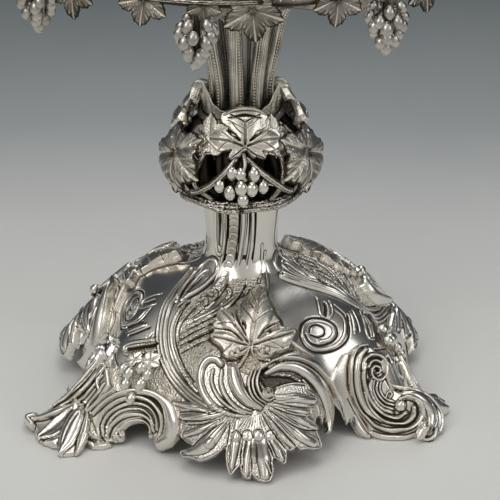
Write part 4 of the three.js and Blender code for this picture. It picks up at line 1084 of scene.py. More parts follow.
def drawn_in(shape, reach, share):
    """The same shape with what lies beyond a plan radius drawn in towards it."""

    def change(points, radius):
        kept = np.where(radius > reach, reach + (radius - reach) * share, radius)
        points[:, :2] *= (kept / radius)[:, None]
        return points

    return reshaped(shape, change)


def press_down(points, share, level):
    """Takes a share off the height of points above a level."""
    points[:, 2] -= share * np.maximum(points[:, 2] - level, 0)
    return points


def low_backed(shape):
    """The same toe leaf with its back pressed down beyond the dome."""

    def change(points, radius):
        return press_down(points, 0.55 * np.clip((radius - 90) / 8, 0, 1), 9)

    return reshaped(shape, change)


def tucked(shape):
    """The same foot scrolls with the edge that would rise behind a full toe leaf pressed down."""

    def change(points, radius):
        bearing = np.degrees(np.arctan2(points[:, 0], -points[:, 1]))
        behind = np.exp(-(((bearing - 58.5) / 4.5) ** 2)) * np.clip((radius - 96) / 3, 0, 1)
        return press_down(points, 0.6 * behind, 12)

    return reshaped(shape, change)


# Vine leaves. A lobe is its angle, its length as a share of the leaf's size and its half width.
VINE = [(90, 1.0, 36), (24, 0.98, 36), (156, 0.98, 36), (-38, 0.82, 38), (-142, 0.82, 38)]
HANGING = [(90, 1.15, 40), (28, 1.0, 36), (152, 1.0, 36), (-32, 0.82, 36), (-148, 0.82, 36)]
LEAF_AROUND, LEAF_OUT = 200, 26
TEETH, TOOTH = 3.0, 0.07
# Added darkening: painted light on the panel leaf, painted shade on the inner strands, darker grapes and
# sprays
PANEL_VINE_SHADE, STRAND_SHADE, KNOP_BUNCH_SHADE, SPRAY_SHADE, BUNCH_SHADE = -0.1, 0.5, 0.54, 0.24, 0.68
# How far apart a leaf's side veins are, and how wide its middle dips
VEIN_PITCH, MIDDLE = 5.2, 1.5


def lobed(angle, lobes, notch):
    """The reach of a vine leaf at an angle, as a share of its size, with saw teeth on its lobes."""
    reach = np.zeros_like(angle)
    saw = np.zeros_like(angle)
    for centre, length, width in lobes:
        away = np.abs(np.mod(angle - centre + 180, 360) - 180) / width
        here = length * (notch + (1 - notch) * np.maximum(0, 1 - away) ** 0.44) * (away < 1.0)
        better = here > reach
        reach = np.where(better, here, reach)
        saw = np.where(better, np.mod(TEETH * away, 1), saw)
    return np.maximum(reach, notch * 0.8) * (1 - TOOTH * saw)


def vine_leaf(shape, size, place, relief, thick, lobes=VINE, notch=0.56):
    """A lobed leaf whose surface goes where place(right, up, lift) says, ribbed from its stalk."""
    angle = np.linspace(-180, 180, LEAF_AROUND, endpoint=False)
    reach = lobed(angle, lobes, notch) * size
    share = (np.linspace(0, 1, LEAF_OUT) ** 0.8)[:, None]
    right = reach * share * np.cos(np.radians(angle))
    up = reach * share * np.sin(np.radians(angle))
    # How far a point is from the nearest midrib, and how far along its side veins
    off_rib = np.full_like(right, np.inf)
    along = np.zeros_like(right)
    for centre, *_ in lobes:
        out, off = turn_in_plane(right, up, -centre)
        off = np.where(out < 0, np.hypot(right, up) + 0.2, np.abs(off))
        along = np.where(off < off_rib, out - 0.9 * off, along)
        off_rib = np.minimum(off_rib, off)
    side_veins = np.abs(np.sin(np.pi * along / VEIN_PITCH)) ** 0.35
    height = relief * (1 - np.exp(-off_rib / 2.4)) * (0.9 + 0.1 * side_veins)
    height = height - relief * 0.5 * share**3
    height = height - 0.2 * relief * np.exp(-((share * size / MIDDLE) ** 2))
    rows = [place(right, up, height + thick), place(right, up, height * 0.6)[::-1]]
    faces = grid_faces(2 * LEAF_OUT, LEAF_AROUND, close_columns=True)
    shape.add(np.concatenate(rows), faces, matted=0.25)


PANEL_EDGE = outline("""
262,288.6 266,293 268,300 272,308 275.4,315 280,320 282,326.6 288,327.4 293.6,329 296.4,333 294,338
292,343 290,349 283,352 276,352.6 270,357.4 264,359 258,357 254.6,352 251.6,349 248.4,351 243,355
236,358.6 228,358.4 222,355 222.4,349.6 219,345 213,341 209.4,336 213,330.6 211.6,323 216,319.4
216.4,313 222,308.6 229,310.6 236,314.4 237.4,308 235,302 240,298 247,297 249.6,292 256,290
""")
PANEL_LEAF = strokes("""
plate 1.4 3.1 @
roll 4,12,18,20,18,13 2.6,4.4,5.6,6.4,6.8 251,345 253.4,331 255.6,318 258,306 260.4,297 262,290
roll 3,8,12,12,9 2.6,4.6,5.4,5 249,344 240.6,333 231,322 222,312
roll 3,7,9,9,6 2.6,3.8,4,3.2 248,345 236,342 224,338 212,335
roll 2,5,6,5 2.4,3.4,3 248,347 240,351 232,354 224,356
+ 253.4,347 259,351 266,354 273,353.6
roll 3,8,13,13,9 2.6,4.8,5.6,5 254,345 266,340 281,337 294,334
clip 1.6 0 @
cut 1.8,2.6,2.6,1.8,0.8 1.4,1.3,1,0.5 250.6,345 252.4,331 256,315 259.6,301 261.6,292
cut 1.6,2,1.5 1.2,1.1,0.7 249.6,344 240,332.4 229,320 222.4,313
cut 1.5,1.9,1.5 1.2,1,0.6 248.6,345.4 236,342.6 222,339 213,336.6
cut 1.6,2.2,1.6 1.2,1.1,0.7 254.4,344.6 266,341.4 280,338 292,334
cut 1.5 1,0.7 247.6,347 240,351.4 230,355.4
+ 254,347.4 261,352.6 270,355
cut 0.9,1.6,1 2.2 246,336 238.4,322 236,313
cut 0.9,1.5,1 2 243,341 230,331 215,328
cut 0.9,1.6,1 2 258,338 268,327 280,322
cut 0.6 0.8 253.6,324 246,314 240,304
+ 255,314 249,306 246,299
+ 254,324 262,318 271,312
+ 256,314 262,307 268,302
cut 0.5 0.7 258,306 262.6,300 266,297
+ 257,309 253,301 251,295
+ 236,328.6 234,321 232,314
+ 234,326 226,324 218,323.6
+ 268,341 275,345 284,348.6
+ 270,340 278,334 286,330
+ 234,343 228,348 223.6,352
cut 1,2.2,1 9 245.4,328.6 243.8,325 242.6,321.4
cut 3.3 9 267.6,332.4 268.6,331.8
roll 1.2,2.6,2.6,1 2.6 289,339 297,345 305,350.6 314,356
roll 1.4,1.2,0.9 3.2,2.2 251.6,345.6 252.6,353 258.4,361
roll 1.2,1,0.8 3,2 250.4,346 246,355.6 240,364.6 236.6,370
beads 2.8 1.6 232,354.6 238,351.6 262,351.6 256,350.6 267,350
""", PANEL_EDGE)
UPPER_EDGE = outline("""
230,109 222,113 220.6,118 222,124 229,128.6 219,128.6 213,131 209,133.6 205,138 209,143 213,147 217,151
222,153 227,151.6 231,150.6 228.4,154 227.6,157.4 231,160 235.6,158 240,157.6 242.6,152.6 247,151.4
250,156 254,158.6 257,157 261,158.6 265,160 266,157 262.6,151.6 268,153 274,151.4 279.4,147 278,142
280.4,135 276,128.6 267,126.6 265.4,122 268,117 260,110 245,107
""")
UPPER_LEAF = strokes("""
plate 1.4 3.1 @
roll 5,13,18,22,22,16 2.4,4,4.4,4.2,3.2 245,148 245,139 245,130 245,121 245,111
roll 4,10,13,12,8 2.4,4.2,4.2,3 243.6,147.6 234,142.6 222,139.4 209,138
+ 246.4,147.6 256,142.6 267,139.6 279,138.6
roll 2,5,6,4 2.4,3.4,2.8 243.6,148 238.6,152.4 232,157
+ 246.6,148 253,153.4 262,157
clip 1.6 0 @
cut 1.6,2,1.5 1.3,1.1,0.7 245,147.4 245,134 244.8,122
cut 1.5,1.8,1.5 1.1,1,0.6 244,146.8 231,142 212,139
+ 246,146.8 260,141.6 277,138.6
cut 1.2,2.4,1.4 2.6 240,141 231,133 226,128
+ 250,141 261,132 270,126.6
cut 0.9 1.2 244.6,123 238,118.6 231.6,115
+ 245,123 252,118.6 258.6,115
cut 0.8 1 244,148 238,153 232,157.4
+ 246,148 254,154 262.6,157.6
cut 0.5 0.6 244.6,136 238,131 233,124
+ 245.4,130 251.6,125.6 257,119
+ 244.6,130 237.6,126 229,121
+ 236,144 228.6,137 222.6,132.6
+ 230,142 223,146 219,151
+ 256,143 263,137 270,131
+ 260,142 267,145 273,149
cut 1.6,2.2,1.6 9 231.6,134.4 235.4,135.6
cut 0.9,1.9,0.9 9 254.6,135.6 258,132.8 261,130.6
roll 1.2,2.2,2.6,2.2,1.2 3.4,4.6,4.8,4.6,3.4 225,116 234,110.6 245,108.6 256,110.6 265,116
cut 0.8,2.2,0.8 0.8,2.4,0.8 229,118.6 245,115.6 260,118.6
""", UPPER_EDGE)
# Radii and heights of the sheet that carries the knop's upper leaf
UPPER_SHEET = [(37.4, 138), (36.2, 146), (33.0, 154), (28.2, 161), (23.4, 168), (20.0, 175)]
# Bearing, run and lift of each grape on the panel
PANEL_GRAPES = [
    (72.0, 110.9, 3.6), (78.0, 108.5, 3.6), (75.0, 112.9, 4.6), (81.5, 112.0, 4.4),
    (75.5, 119.2, 5.0), (80.4, 118.2, 5.0), (79.0, 127.0, 5.2),
]


def panel_vine():
    shape = dome_carving(PANEL_LEAF, (-28, 52), (42, 108), seen_at=2.4, pitch=0.34)
    # Painted light: the panel leaf is lightened so that it stands out as lit from its ground
    shape.add_tarnish_and_painted_light(PANEL_VINE_SHADE)
    return shape


def upper_vine_leaf():
    controls = [polar(bearing, *place) for place in UPPER_SHEET for bearing in (-40, -20, 0, 20, 40)]
    return free_carving(UPPER_LEAF, (200, 103, 286, 164), controls, pitch=0.42, back=1.8)


def panel_bunch():
    shape = Shape()
    for spot in PANEL_GRAPES:
        hang = dome_up(*spot[:2]) * 0.7 + np.array([0, 0, -1.2])
        orb(shape, dome(*spot), 2.95 * rng.uniform(0.92, 1.08), axis=hang, stretch=1.25)
    for bearing, run, turn, size in ((79.6, 103.4, -40, 6.6), (73.4, 104.4, 50, 5.6)):

        def place(right, up, lift):
            right, up = turn_in_plane(right, up, turn)
            turned = np.degrees(right / np.interp(run - up, RUN, LINE[:, 0]))
            return dome(bearing + turned, run - up, lift + 1.4)

        vine_leaf(shape, size, place, relief=1.0, thick=0.7)
    return shape


# The knop
KNOP_BOTTOM = 112.3
KNOP_LINE = spline([(29, 119.3), (36.5, 128.8), (38, 137.3), (34, 148.3), (21.5, 160.6)], 40)
CUP_AROUND, CUP_RADIUS = 360, 20.6
STRANDS = 30
# Rings of twig: the radius and the height as a middle, a wave's size, its count and its phase,
# then the lean, the bearing's step, the thickness, the knots, the count of rows and the roughness
TWIG_RINGS = [
    ((30.0, 0.6, 4, 0), (119.0, 0.7, 3, 34), 60, 12, 2.3, 26, 300, 0.5),
    ((31.6, 0.8, 5, 50), (117.4, 0.8, 6, 10), 90, 9, 1.5, 30, 300, 0.4),
    ((21.6, 0, 0, 0), (113.6, 0.3, 7, 0), 70, 12, 1.3, 30, 200, 0.2),
    ((21.4, 0, 0, 0), (160.8, 0.4, 6, 0), 60, 15, 1.6, 24, 140, 0.2),
]
# Twigs over the knop for each panel: half widths, then bearings, heights and lifts
TWIGS = [
    ("2,1.9,1.7,1.5", "-52,123 -34,129 -22,135 -12,142 -3,149"),
    ("2,1.9,1.7,1.5", "52,124 38,129 25,136 13,143 3,149"),
    ("1.1,1,0.8", "2,151,1.5 3,146,2 1,141,2.4 4,138,3"),
    ("1.5,1.4,1.2", "29,121 33,132 36,144 28,156"),
    ("1.5,1.4,1.2", "-27,121 -40,132 -35,146 -25,157"),
    ("1.6,1.4,1.3", "60,121 57,134 62,148 60,158"),
    ("1.2,1.1,1", "24,150 38,147 52,146.5"),
    ("1.2,1.1,1", "-24,150 -38,148 -52,146.5"),
]
SIDE_CLUSTER = outline("40,152 44,155.5 48,151.5 45,148.5 41,157.5 -44,154 -47,150.6 -41,151")
# Places across, heights and radii of the knop's front grapes
KNOP_GRAPES = outline("""
-0.2,140.7,38 6.6,140.7,38 -4.7,141,36.4 -11,134,38 -5.7,131.3,40 5.5,133.4,40 11.2,133.4,38
0.9,127.7,40.6 0,134.6,41.4
""")


def knop_radius(height):
    return np.interp(height, KNOP_LINE[:, 1], KNOP_LINE[:, 0])


def on_knop(bearing, height, lift=0.0):
    """A control over the knop's barrel."""
    lean = 90 - 55 * np.clip((height - 142) / 20, -0.6, 1)
    return control(bearing, knop_radius(height) + lift, height, lean)


def twig(shape, controls, radius, knots=5, count=56, rough=0.16):
    """A bark twig: an uneven bar that swells at its knots and is grooved along."""
    middle = float(np.mean(radius))
    crown = np.asarray(radius) * 0.95
    sweep(shape, controls, radius, crown, middle * 0.95, count, 17, ribs=3, end=0.4, waves=knots)
    points = shape.points[-1]
    shape.points[-1] = points + rng.normal(0, rough * middle * 0.16, points.shape)


def knop_cup(shape):
    """The shallow bark cup at the knop's foot, with a thick uneven lip."""
    angles = np.linspace(0, 360, CUP_AROUND, endpoint=False)
    a = np.radians(angles)
    uneven = 0.7 * np.sin(3 * a + 0.6) + 0.5 * np.sin(7 * a + 2) + 0.3 * np.sin(13 * a)
    bark = 0.22 * np.sin(46 * a + 2 * np.sin(5 * a)) + 0.12 * np.sin(85 * a)
    rows, shade = [], []
    # Up the outside, then down the inside, darkened as painted shade
    for shares, flare, lift, dark in (
        (np.linspace(0, 1, 26), 10.2, -0.9, 0),
        (np.linspace(1, 0, 10), 9.6, 0.7, 0.5),
    ):
        for share in shares:
            radius = CUP_RADIUS + flare * share**0.8
            height = KNOP_BOTTOM + 1.2 + (6.6 + uneven) * share**1.5
            if not dark:
                radius = radius + bark * min(1, 3 * share) + 0.25 * math.sin(share * 19)
            rows.append(polar(angles, radius, height + lift))
            shade.append(dark)
    shade = np.repeat(shade, CUP_AROUND)
    faces = grid_faces(len(rows), CUP_AROUND, close_rows=True, close_columns=True)
    shape.add(np.stack(rows), faces, 0.3, shade)


def wave(bearing, middle, size, count, phase):
    return middle + size * math.sin(math.radians(bearing * count + phase))


def knop_openwork():
    shape = Shape()
    knop_cup(shape)
    for outward, upward, lean, step, thickness, knots, count, rough in TWIG_RINGS:
        bearings = range(0, 361, step)
        ring = [control(b, wave(b, *outward), wave(b, *upward), lean) for b in bearings]
        twig(shape, ring, [thickness], knots, count, rough)
    # A darker inner layer of crossing strands, darkened as painted shade within the basket
    for n in range(STRANDS):
        bearing, lean = 360 / STRANDS * n + rng.uniform(-3, 3), rng.uniform(-26, 26)
        strand = [on_knop(bearing + lean * t, 120 + 38 * t, -4.5) for t in (0, 0.3, 0.6, 0.85, 1)]
        twig(shape, strand, [1.5], count=24, rough=0.2)
        shape.tarnish_and_shade[-1] = shape.tarnish_and_shade[-1] + STRAND_SHADE
    for panel in range(PANELS):
        for radius, places in TWIGS:
            spots = [numbers(word) for word in places.split()]
            controls = [on_knop(panel * PANEL_STEP + spot[0], *spot[1:]) for spot in spots]
            twig(shape, controls, numbers(radius))
    return shape


def hanging_vine_leaf():
    shape = Shape()

    def place(right, up, lift):
        z = 146.3 - up * 0.96
        low, high = np.maximum(0, 126 - z), np.maximum(0, z - 150)
        radius = knop_radius(np.clip(z, 126, 150)) + 3.0 + lift + 0.5 * low - 0.55 * high
        return polar(FOOT + np.degrees(-right / 38.0), radius + 0.004 * right**2, z)

    vine_leaf(shape, 22, place, relief=2.6, thick=0.8, lobes=HANGING)
    return shape


def knop_side_leaves():
    """Side leaves half hidden by the others, and small clusters near the collar."""
    shape = Shape()
    for bearing, turn in ((-32, 12), (30, -16)):

        def place(right, up, lift):
            right, up = turn_in_plane(right, up, turn)
            z = 155.5 + up * 0.96
            radius = knop_radius(np.clip(z, 121, 152)) - 0.4 * np.maximum(0, z - 152) + 0.8 + lift
            return polar(bearing + np.degrees(right / 33.0), radius, z)

        vine_leaf(shape, 13.4, place, relief=1.0, thick=0.7)
    for spot in SIDE_CLUSTER:
        centre, _ = on_knop(*spot, 3.0)
        orb(shape, centre, 2.0, axis=(0, 0, -1), stretch=1.15, sides=12, rings=7)
    return shape


def knop_bunch():
    shape = Shape()
    for across, height, radius in KNOP_GRAPES:
        bearing = math.degrees(math.asin(across / radius))
        hang = on_knop(bearing, height)[1] * 0.3 + np.array([0, 0, -1])
        size = 3.05 * rng.uniform(0.95, 1.06)
        orb(shape, polar(bearing, radius, height), size, axis=hang, stretch=1.28)
        stalk = [on_knop(bearing, height + 2.5, 0.6), on_knop(bearing * 0.6, height + 6, 0.4)]
        sweep(shape, stalk, 0.7, 0.7, 0.7, 8, 7)
    shape.add_tarnish_and_painted_light(KNOP_BUNCH_SHADE)
    return shape


def calyx_leaves():
    """A cup whose rim rises to ribbed leaf tips over the feet."""
    seat, around = 162.6, 540
    angles = np.linspace(0, 360, around, endpoint=False)
    tip = np.clip(1 - np.abs(np.mod(angles / PANEL_STEP, 1) - 0.5) / 0.5, 0, 1)
    peak = tip**4.6
    tall = 4.4 + 14.6 * peak + 0.7 * np.abs(np.sin(np.radians(angles * 10.5))) * (1 - tip)
    share = np.linspace(0, 1, 34)[:, None]
    ribs = 0.34 * np.cos(np.radians(angles * 24)) * np.minimum(1, 2 * share)
    radius = 20.0 + (0.6 + 2.4 * peak) * share**2.2 + ribs
    height = seat + tall * share
    outer = polar(angles, radius, height)
    back = polar(angles, radius - 1.1, np.maximum(height - 0.25, seat))[::-1]
    rows = np.concatenate([outer, back])
    # The cup's inside is darkened as painted shade
    shade = np.repeat([0, 0.45], radius.size)
    shape = Shape()
    shape.add(rows, grid_faces(len(rows), around, close_rows=True, close_columns=True), 0.3, shade)
    return shape


# Stems, ring, sprays and bunches
STEM_ROWS, STEM_AROUND = 460, 72
STEM_RADII = [3.9, 3.9, 3.9, 3.4, 2.8]
# Angles round the stem of its rows of punched dots, and the dots' pitch
DOT_ROWS, DOT_PITCH = (0.75, -0.85, 2.6), 1.75
GROOVES = 16
BEAD_STEP = 3
RING_R, RING_Z = 114.0, 262.0


def stem_line():
    """The stem's centre line as (radius, height), the same as in the CAD."""
    way = unit(np.array([0.62, 0.78]))
    bend, end = np.array([24, 222]), np.array([RING_R, RING_Z]) - way * 2.9
    rise = [bend + (end - bend) * share for share in ([0.16, 0.27], [0.45, 0.45], [0.8, 0.66])]
    foot = [(13.4, 165.9), (13.4, 174.9), (16.2, (165.9 + 222) / 2)]
    return [*foot, bend, *rise, end - way * 8, end]


def stem_shape():
    """A bark stem: deep lengthwise grooves, and a row of punched dots down each side."""
    flat = resample(spline(stem_line(), 24), STEM_ROWS)
    tangent = unit(np.gradient(flat, axis=0))
    run = run_along(flat)
    share = run / run[-1]
    radius = np.interp(share, np.linspace(0, 1, len(STEM_RADII)), STEM_RADII)
    a = np.linspace(0, 2 * np.pi, STEM_AROUND, endpoint=False)
    grooves = np.zeros((STEM_ROWS, STEM_AROUND))
    shade = np.full((STEM_ROWS, STEM_AROUND), 0.12)
    for _ in range(GROOVES):
        at = rng.uniform(0, 2 * np.pi)
        drift = 0.25 * np.sin(share * rng.uniform(3, 9) + rng.uniform(0, 6))
        away = np.abs(np.angle(np.exp(1j * (a[None, :] - at - drift[:, None]))))
        start, stop = sorted(rng.uniform(-0.2, 1.2, 2))
        if stop - start < 0.4:
            start, stop = 0, 1
        alive = (share > start) & (share < stop)
        grooves -= alive[:, None] * rng.uniform(0.15, 0.3) * np.exp(-((away / 0.085) ** 2))
    grooves += 0.05 * np.cos(a * 22 + 3 * np.sin(share * 9)[:, None])
    for at in DOT_ROWS:
        away = np.abs(np.angle(np.exp(1j * (a[None, :] - at)))) * radius[:, None]
        phase = (np.mod(run / DOT_PITCH, 1) - 0.5) * DOT_PITCH
        hole = np.exp(-((away / 0.42) ** 2 + (phase[:, None] / 0.42) ** 2))
        grooves -= 0.6 * hole + 0.12 * np.exp(-((away / 0.7) ** 2))
        shade = np.maximum(shade, 0.45 * hole)
    wide = radius[:, None] * 0.98 + grooves * (radius[:, None] / 3.9)
    # The angle round the stem is 0 where it faces out.
    across = np.array([1.0, 0.0, 0.0])
    none = np.zeros(STEM_ROWS)
    line = np.stack([none, -flat[:, 0], flat[:, 1]], 1)
    outward = unit(np.cross(np.stack([none, -tangent[:, 0], tangent[:, 1]], 1), across))
    outward *= np.sign(-outward[:, 1:2] + 1e-9)
    spokes = np.cos(a)[None, :, None] * outward[:, None, :] + np.sin(a)[None, :, None] * across
    rows = line[:, None, :] + wide[..., None] * spokes
    columns = np.arange(STEM_AROUND)
    faces = [*grid_faces(STEM_ROWS, STEM_AROUND, close_columns=True)[:, ::-1], columns]
    faces.append((columns + (STEM_ROWS - 1) * STEM_AROUND)[::-1])
    shape = Shape()
    shape.add(rows, faces, 0.15, shade)
    return shape


def ring_shape():
    shape = Shape()
    around = [control(bearing, RING_R, RING_Z, 60) for bearing in range(0, 361, 10)]
    sweep(shape, around, 2.5, 2.5, 2.3, 360, 14, end=0.01)
    for bearing in range(0, 360, BEAD_STEP):
        orb(shape, polar(bearing, RING_R + 1.6, RING_Z + 1.4), 0.95, sides=8, rings=5)
    return shape


def spray_shape():
    shape = Shape()
    outside = RING_R + 3.25
    # The bearing, the size, the tip's height and the tilt of each leaf
    leaves = [(12.5, 16.0, 244.0, 6), (-12.5, 14.0, 248.2, -8), (1.5, 9.5, 252.5, 3)]
    for bearing, size, tip, tilt in leaves:

        def place(right, up, lift):
            right, up = turn_in_plane(right, up, tilt)
            z = tip + size - up
            low = np.maximum(0, RING_Z - z)
            radius = outside + 0.16 * low + lift + 0.010 * right**2 - 0.0035 * low**2
            return polar(bearing - np.degrees(right / radius), radius, z)

        vine_leaf(shape, size, place, relief=1.7, thick=0.7, notch=0.4)
    bearings = (-15, -9, -3, 3, 9, 15)
    stalk = [control(b, outside + 1.4, RING_Z + 1.6 + 0.8 * math.sin(b), 80) for b in bearings]
    twig(shape, stalk, [1.3, 1.5, 1.3], knots=7)
    shape.add_tarnish_and_painted_light(SPRAY_SHADE)
    return shape


def bunch_shape():
    shape = Shape()
    top, axis = RING_Z - 2.3, RING_R + 5.5
    # How far down each row of grapes hangs, how many it has and how wide it is
    rows = [(6.4, 4, 5.0), (10.4, 6, 6.2), (14.4, 5, 5.4), (18.4, 4, 4.0), (22.2, 3, 2.4), (26.0, 1, 0.0)]
    for drop, count, width in rows:
        for index in range(count):
            turn = 360 * index / count + drop * 23 + rng.uniform(-12, 12)
            out = 1.35 * width + rng.uniform(-0.3, 0.3)
            centre = polar(turn, out, top - drop - rng.uniform(-0.8, 0.8)) + polar(0, axis, 0)
            size, hang = 2.8 * rng.uniform(0.92, 1.08), unit(polar(turn, 0.35, -1))
            orb(shape, centre, size, axis=hang, stretch=1.25, nib=0.12)
    places = ((RING_R + 2.0, top + 1.5), (RING_R + 4.5, top - 4), (axis, top - 14), (axis, top - 26))
    stalk = [control(0, *place, 90) for place in places]
    sizes = [1.0, 1.6, 2.2, 1.0]
    sweep(shape, stalk, sizes, sizes, 1.4, 20, 8)
    shape.add_tarnish_and_painted_light(BUNCH_SHADE)
    return shape


def dish_shape():
    base, glass, along, flutes = RING_Z - 20, 3.4, 60, 36

    def line(inset):
        return resample(spline([
            (34, base + inset),
            (62, base + 4.5 + inset),
            (88, base + 12.5 + inset * 0.95),
            (112.4 - inset * 0.4, RING_Z + 2.9 + inset * 0.85),
            (126 - inset * 0.8, RING_Z + 15 + inset * 0.3),
            (132 - inset, 290),
        ], 12), along)

    under = [(0.4, base), *((34 * t, base) for t in (0.35, 0.7))]
    inner = [*((34 * t, base + glass) for t in (0.7, 0.35)), (0.4, base + glass)]
    profile = np.vstack([under, line(0), line(glass)[::-1], inner])
    angles = np.linspace(0, 360, 180, endpoint=False)
    # Cut flutes that run up the outside of the bowl
    depth = np.zeros(len(profile))
    depth[len(under) : len(under) + along] = 0.55 * np.sin(np.linspace(0, np.pi, along)) ** 0.6
    flute = 1 - np.abs(np.cos(np.radians(angles) * flutes / 2))
    rows = [polar(angles, r - cut * flute, z + 0.3 * cut * flute) for (r, z), cut in zip(profile, depth)]
    faces = grid_faces(len(profile), len(angles), close_rows=True, close_columns=True)[:, ::-1]
    shape = Shape()
    shape.add(rows, faces)
    return shape


def panel_pieces(name, shape, slot, stems, hollow_scale=0.16):
    """Three copies of one mesh."""
    ring_of(name, [shape.mesh(name, hollow_scale=hollow_scale)] * PANELS, slot, stems)


panel_pieces("shell_crest", panel_ornament(), "chased_silver", ["shell_mount"])
foot = foot_ornament()
short_foot = drawn_in(foot, 99, 0.5)
feet = [foot.mesh("foot_scrolls"), short_foot.mesh("foot_scrolls_short")]
feet.append(tucked(short_foot).mesh("foot_scrolls_left"))
ring_of("foot_scrolls", feet, "chased_silver", ["scroll_foot"])
toe_leaf = toe_leaf_ornament()
left_leaf = toe_leaf.mesh("toe_leaf_left")
short_leaf = low_backed(drawn_in(toe_leaf, 107, 0.55)).mesh("toe_leaf")
ring_of("toe_leaf", [short_leaf, short_leaf, left_leaf], "chased_silver")
panel_pieces("arch_scrolls", arch_ornament(), "chased_silver", ["arch_scroll"])
panel_pieces("panel_vine_leaf", panel_vine(), "cast_silver", ["panel_leaf"], 0.12)
panel_pieces("panel_bunch", panel_bunch(), "polished_silver", ["panel_grapes"])
panel_pieces("upper_vine_leaf", upper_vine_leaf(), "cast_silver", ["knop_upper_leaf"], 0.12)
panel_pieces("hanging_vine_leaf", hanging_vine_leaf(), "cast_silver", ["knop_hanging_leaf"], 0.12)
panel_pieces("knop_bunch", knop_bunch(), "polished_silver", ["knop_grapes"])
panel_pieces("knop_side_leaves", knop_side_leaves(), "cast_silver", (), 0.12)
twigs = knop_openwork().mesh("knop_twigs", hollow_scale=0.12, rounds=4)
piece("knop_twigs", twigs, "cast_silver", ["knop_basket"])
piece("calyx_leaves", calyx_leaves().mesh("calyx_leaves"), "cast_silver", ["calyx"])
# For each stem: a piece's name, its mesh, its finish and the node that it replaces
STEM_PIECES = [
    ("bark_stem", stem_shape().mesh("bark_stem", hollow_scale=0.2, rounds=4), "cast_silver", "vine_stem"),
    ("vine_spray", spray_shape().mesh("vine_spray", hollow_scale=0.12), "cast_silver", "leaf_spray"),
    ("hanging_bunch", bunch_shape().mesh("hanging_bunch"), "polished_silver", "hanging_grapes"),
]
for n in range(STEMS):
    for name, mesh, slot, stem in STEM_PIECES:
        bearing = FIRST_STEM + n * 360 / STEMS
        piece(f"{name}_{n + 1}", mesh, slot, [f"{stem}_{n + 1}"], bearing=bearing)
piece("beaded_ring", ring_shape().mesh("beaded_ring"), "polished_silver", ["bowl_ring"])
piece("cut_glass_dish", dish_shape().mesh("cut_glass_dish"), "glass", ["glass_dish"], body="dish")

# The finish of CAD nodes by the start of their names, where it isn't cast silver
FINISHES = {
    "chased_silver": ("scroll_foot", "arch_", "shell_"),
    "polished_silver": ("bowl_ring", "panel_grapes", "knop_grapes", "hanging_grapes"),
    # The inner parts take the near-black silver as painted shade
    "inner_silver": ("neck_plate", "knop_core", "stem_seat"),
    "steel": ("washer", "rod_nut", "tie_rod"),
    "glass": ("glass",),
}
for name, ob in frame["nodes"].items():
    slots = [slot for slot, starts in FINISHES.items() if name.startswith(starts)]
    material = MATERIALS[(slots or ["cast_silver"])[0]]
    for place in ob.material_slots:
        place.link = "OBJECT"
        place.material = material
    if not ob.material_slots:
        ob.data.materials.append(material)

# Floor, light and camera
# Painted light: the floor is pale in front and darkens towards the back, as the light falls off
FLOOR_SHADES = [
    (0.12, (0.74, 0.74, 0.72)),
    (0.26, (0.60, 0.605, 0.60)),
    (0.42, (0.34, 0.365, 0.375)),
    (0.66, (0.165, 0.185, 0.195)),
    (0.95, (0.13, 0.145, 0.155)),
]
ROOM_SHADES = [
    (0.0, (0.03, 0.03, 0.03)),
    (0.36, (0.06, 0.066, 0.076)),
    (0.54, (0.12, 0.127, 0.135)),
    (0.72, (0.36, 0.35, 0.335)),
    (0.88, (0.62, 0.60, 0.57)),
    (1.0, (0.45, 0.44, 0.42)),
]
SENSOR = 36


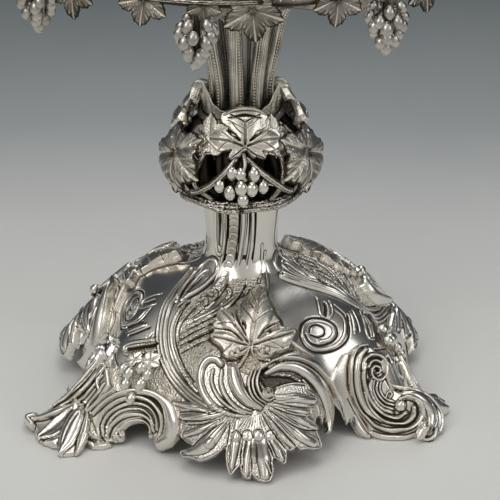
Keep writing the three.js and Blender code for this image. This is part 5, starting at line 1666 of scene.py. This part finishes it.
def floor():
    bpy.ops.mesh.primitive_plane_add(size=12, location=(0, 0, 0))
    ob = bpy.context.object
    ob.name = "floor"
    material, tree, shader, where = nodes_of("floor")
    back = node(tree, "SeparateXYZ", Vector=where).outputs["Y"]
    away = reckon(tree, "MULTIPLY_ADD", noise(tree, where, 2.6, 4.0, 0.55), 0.12, back)
    shade = ramp(tree, away, FLOOR_SHADES)
    give(tree, shader, Base_Color=shade, Roughness=0.75, Specular_IOR_Level=0.2)
    ob.data.materials.append(material)
    ob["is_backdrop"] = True


def lamp(name, where, aim, size, power, colour=(1, 1, 1)):
    data = bpy.data.lights.new(name, "AREA")
    data.energy = power
    data.color = colour
    data.size = size
    ob = bpy.data.objects.new(name, data)
    ob.location = where
    ob.rotation_euler = (Vector(aim) - Vector(where)).to_track_quat("-Z", "Y").to_euler()
    bpy.context.scene.collection.objects.link(ob)


def world():
    """A room that is lightest above and behind the camera."""
    made = bpy.data.worlds.new("studio")
    made.use_nodes = True
    tree = made.node_tree
    where = node(tree, "TexCoord").outputs["Generated"]
    front = node(tree, "VectorMath", operation="DOT_PRODUCT")
    feed(tree, front.inputs[0], where)
    front.inputs[1].default_value = (-0.12, -0.80, 0.58)
    share = node(tree, "MapRange", Value=front.outputs["Value"], From_Min=-1.0).outputs[0]
    give(tree, tree.nodes["Background"], Color=ramp(tree, share, ROOM_SHADES), Strength=1.0)
    bpy.context.scene.world = made


floor()
world()
lamp("key", (-0.75, -0.85, 1.25), (0, 0, 0.08), 0.9, 5.5, (1.0, 0.985, 0.96))
lamp("fill", (1.1, -0.55, 0.75), (0, 0, 0.08), 0.7, 2.2, (0.96, 0.98, 1.0))
lamp("back", (0.15, 1.1, 1.2), (0, 0, 0.12), 0.8, 4, (0.97, 0.99, 1.0))
lamp("top", (0.0, -0.1, 1.7), (0, 0, 0), 0.8, 4)

camera = bpy.data.objects.new("camera", bpy.data.cameras.new("camera"))
bpy.context.scene.collection.objects.link(camera)
camera.data.sensor_width = SENSOR
camera.data.lens = FOCAL / PICTURE * SENSOR
camera.location = EYE * MM
camera.rotation_euler = (math.pi / 2 - ELEVATION, 0, 0)
camera.data.shift_x = (PICTURE / 2 - AIM[0]) / PICTURE
camera.data.shift_y = -(PICTURE / 2 - AIM[1]) / PICTURE
bpy.context.scene.camera = camera
bpy.context.scene.view_settings.view_transform = "Standard"

plain = lambda box: [list(map(float, corner)) for corner in box]
{"cad": plain(CAD_BOX), "visual": plain(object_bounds())}
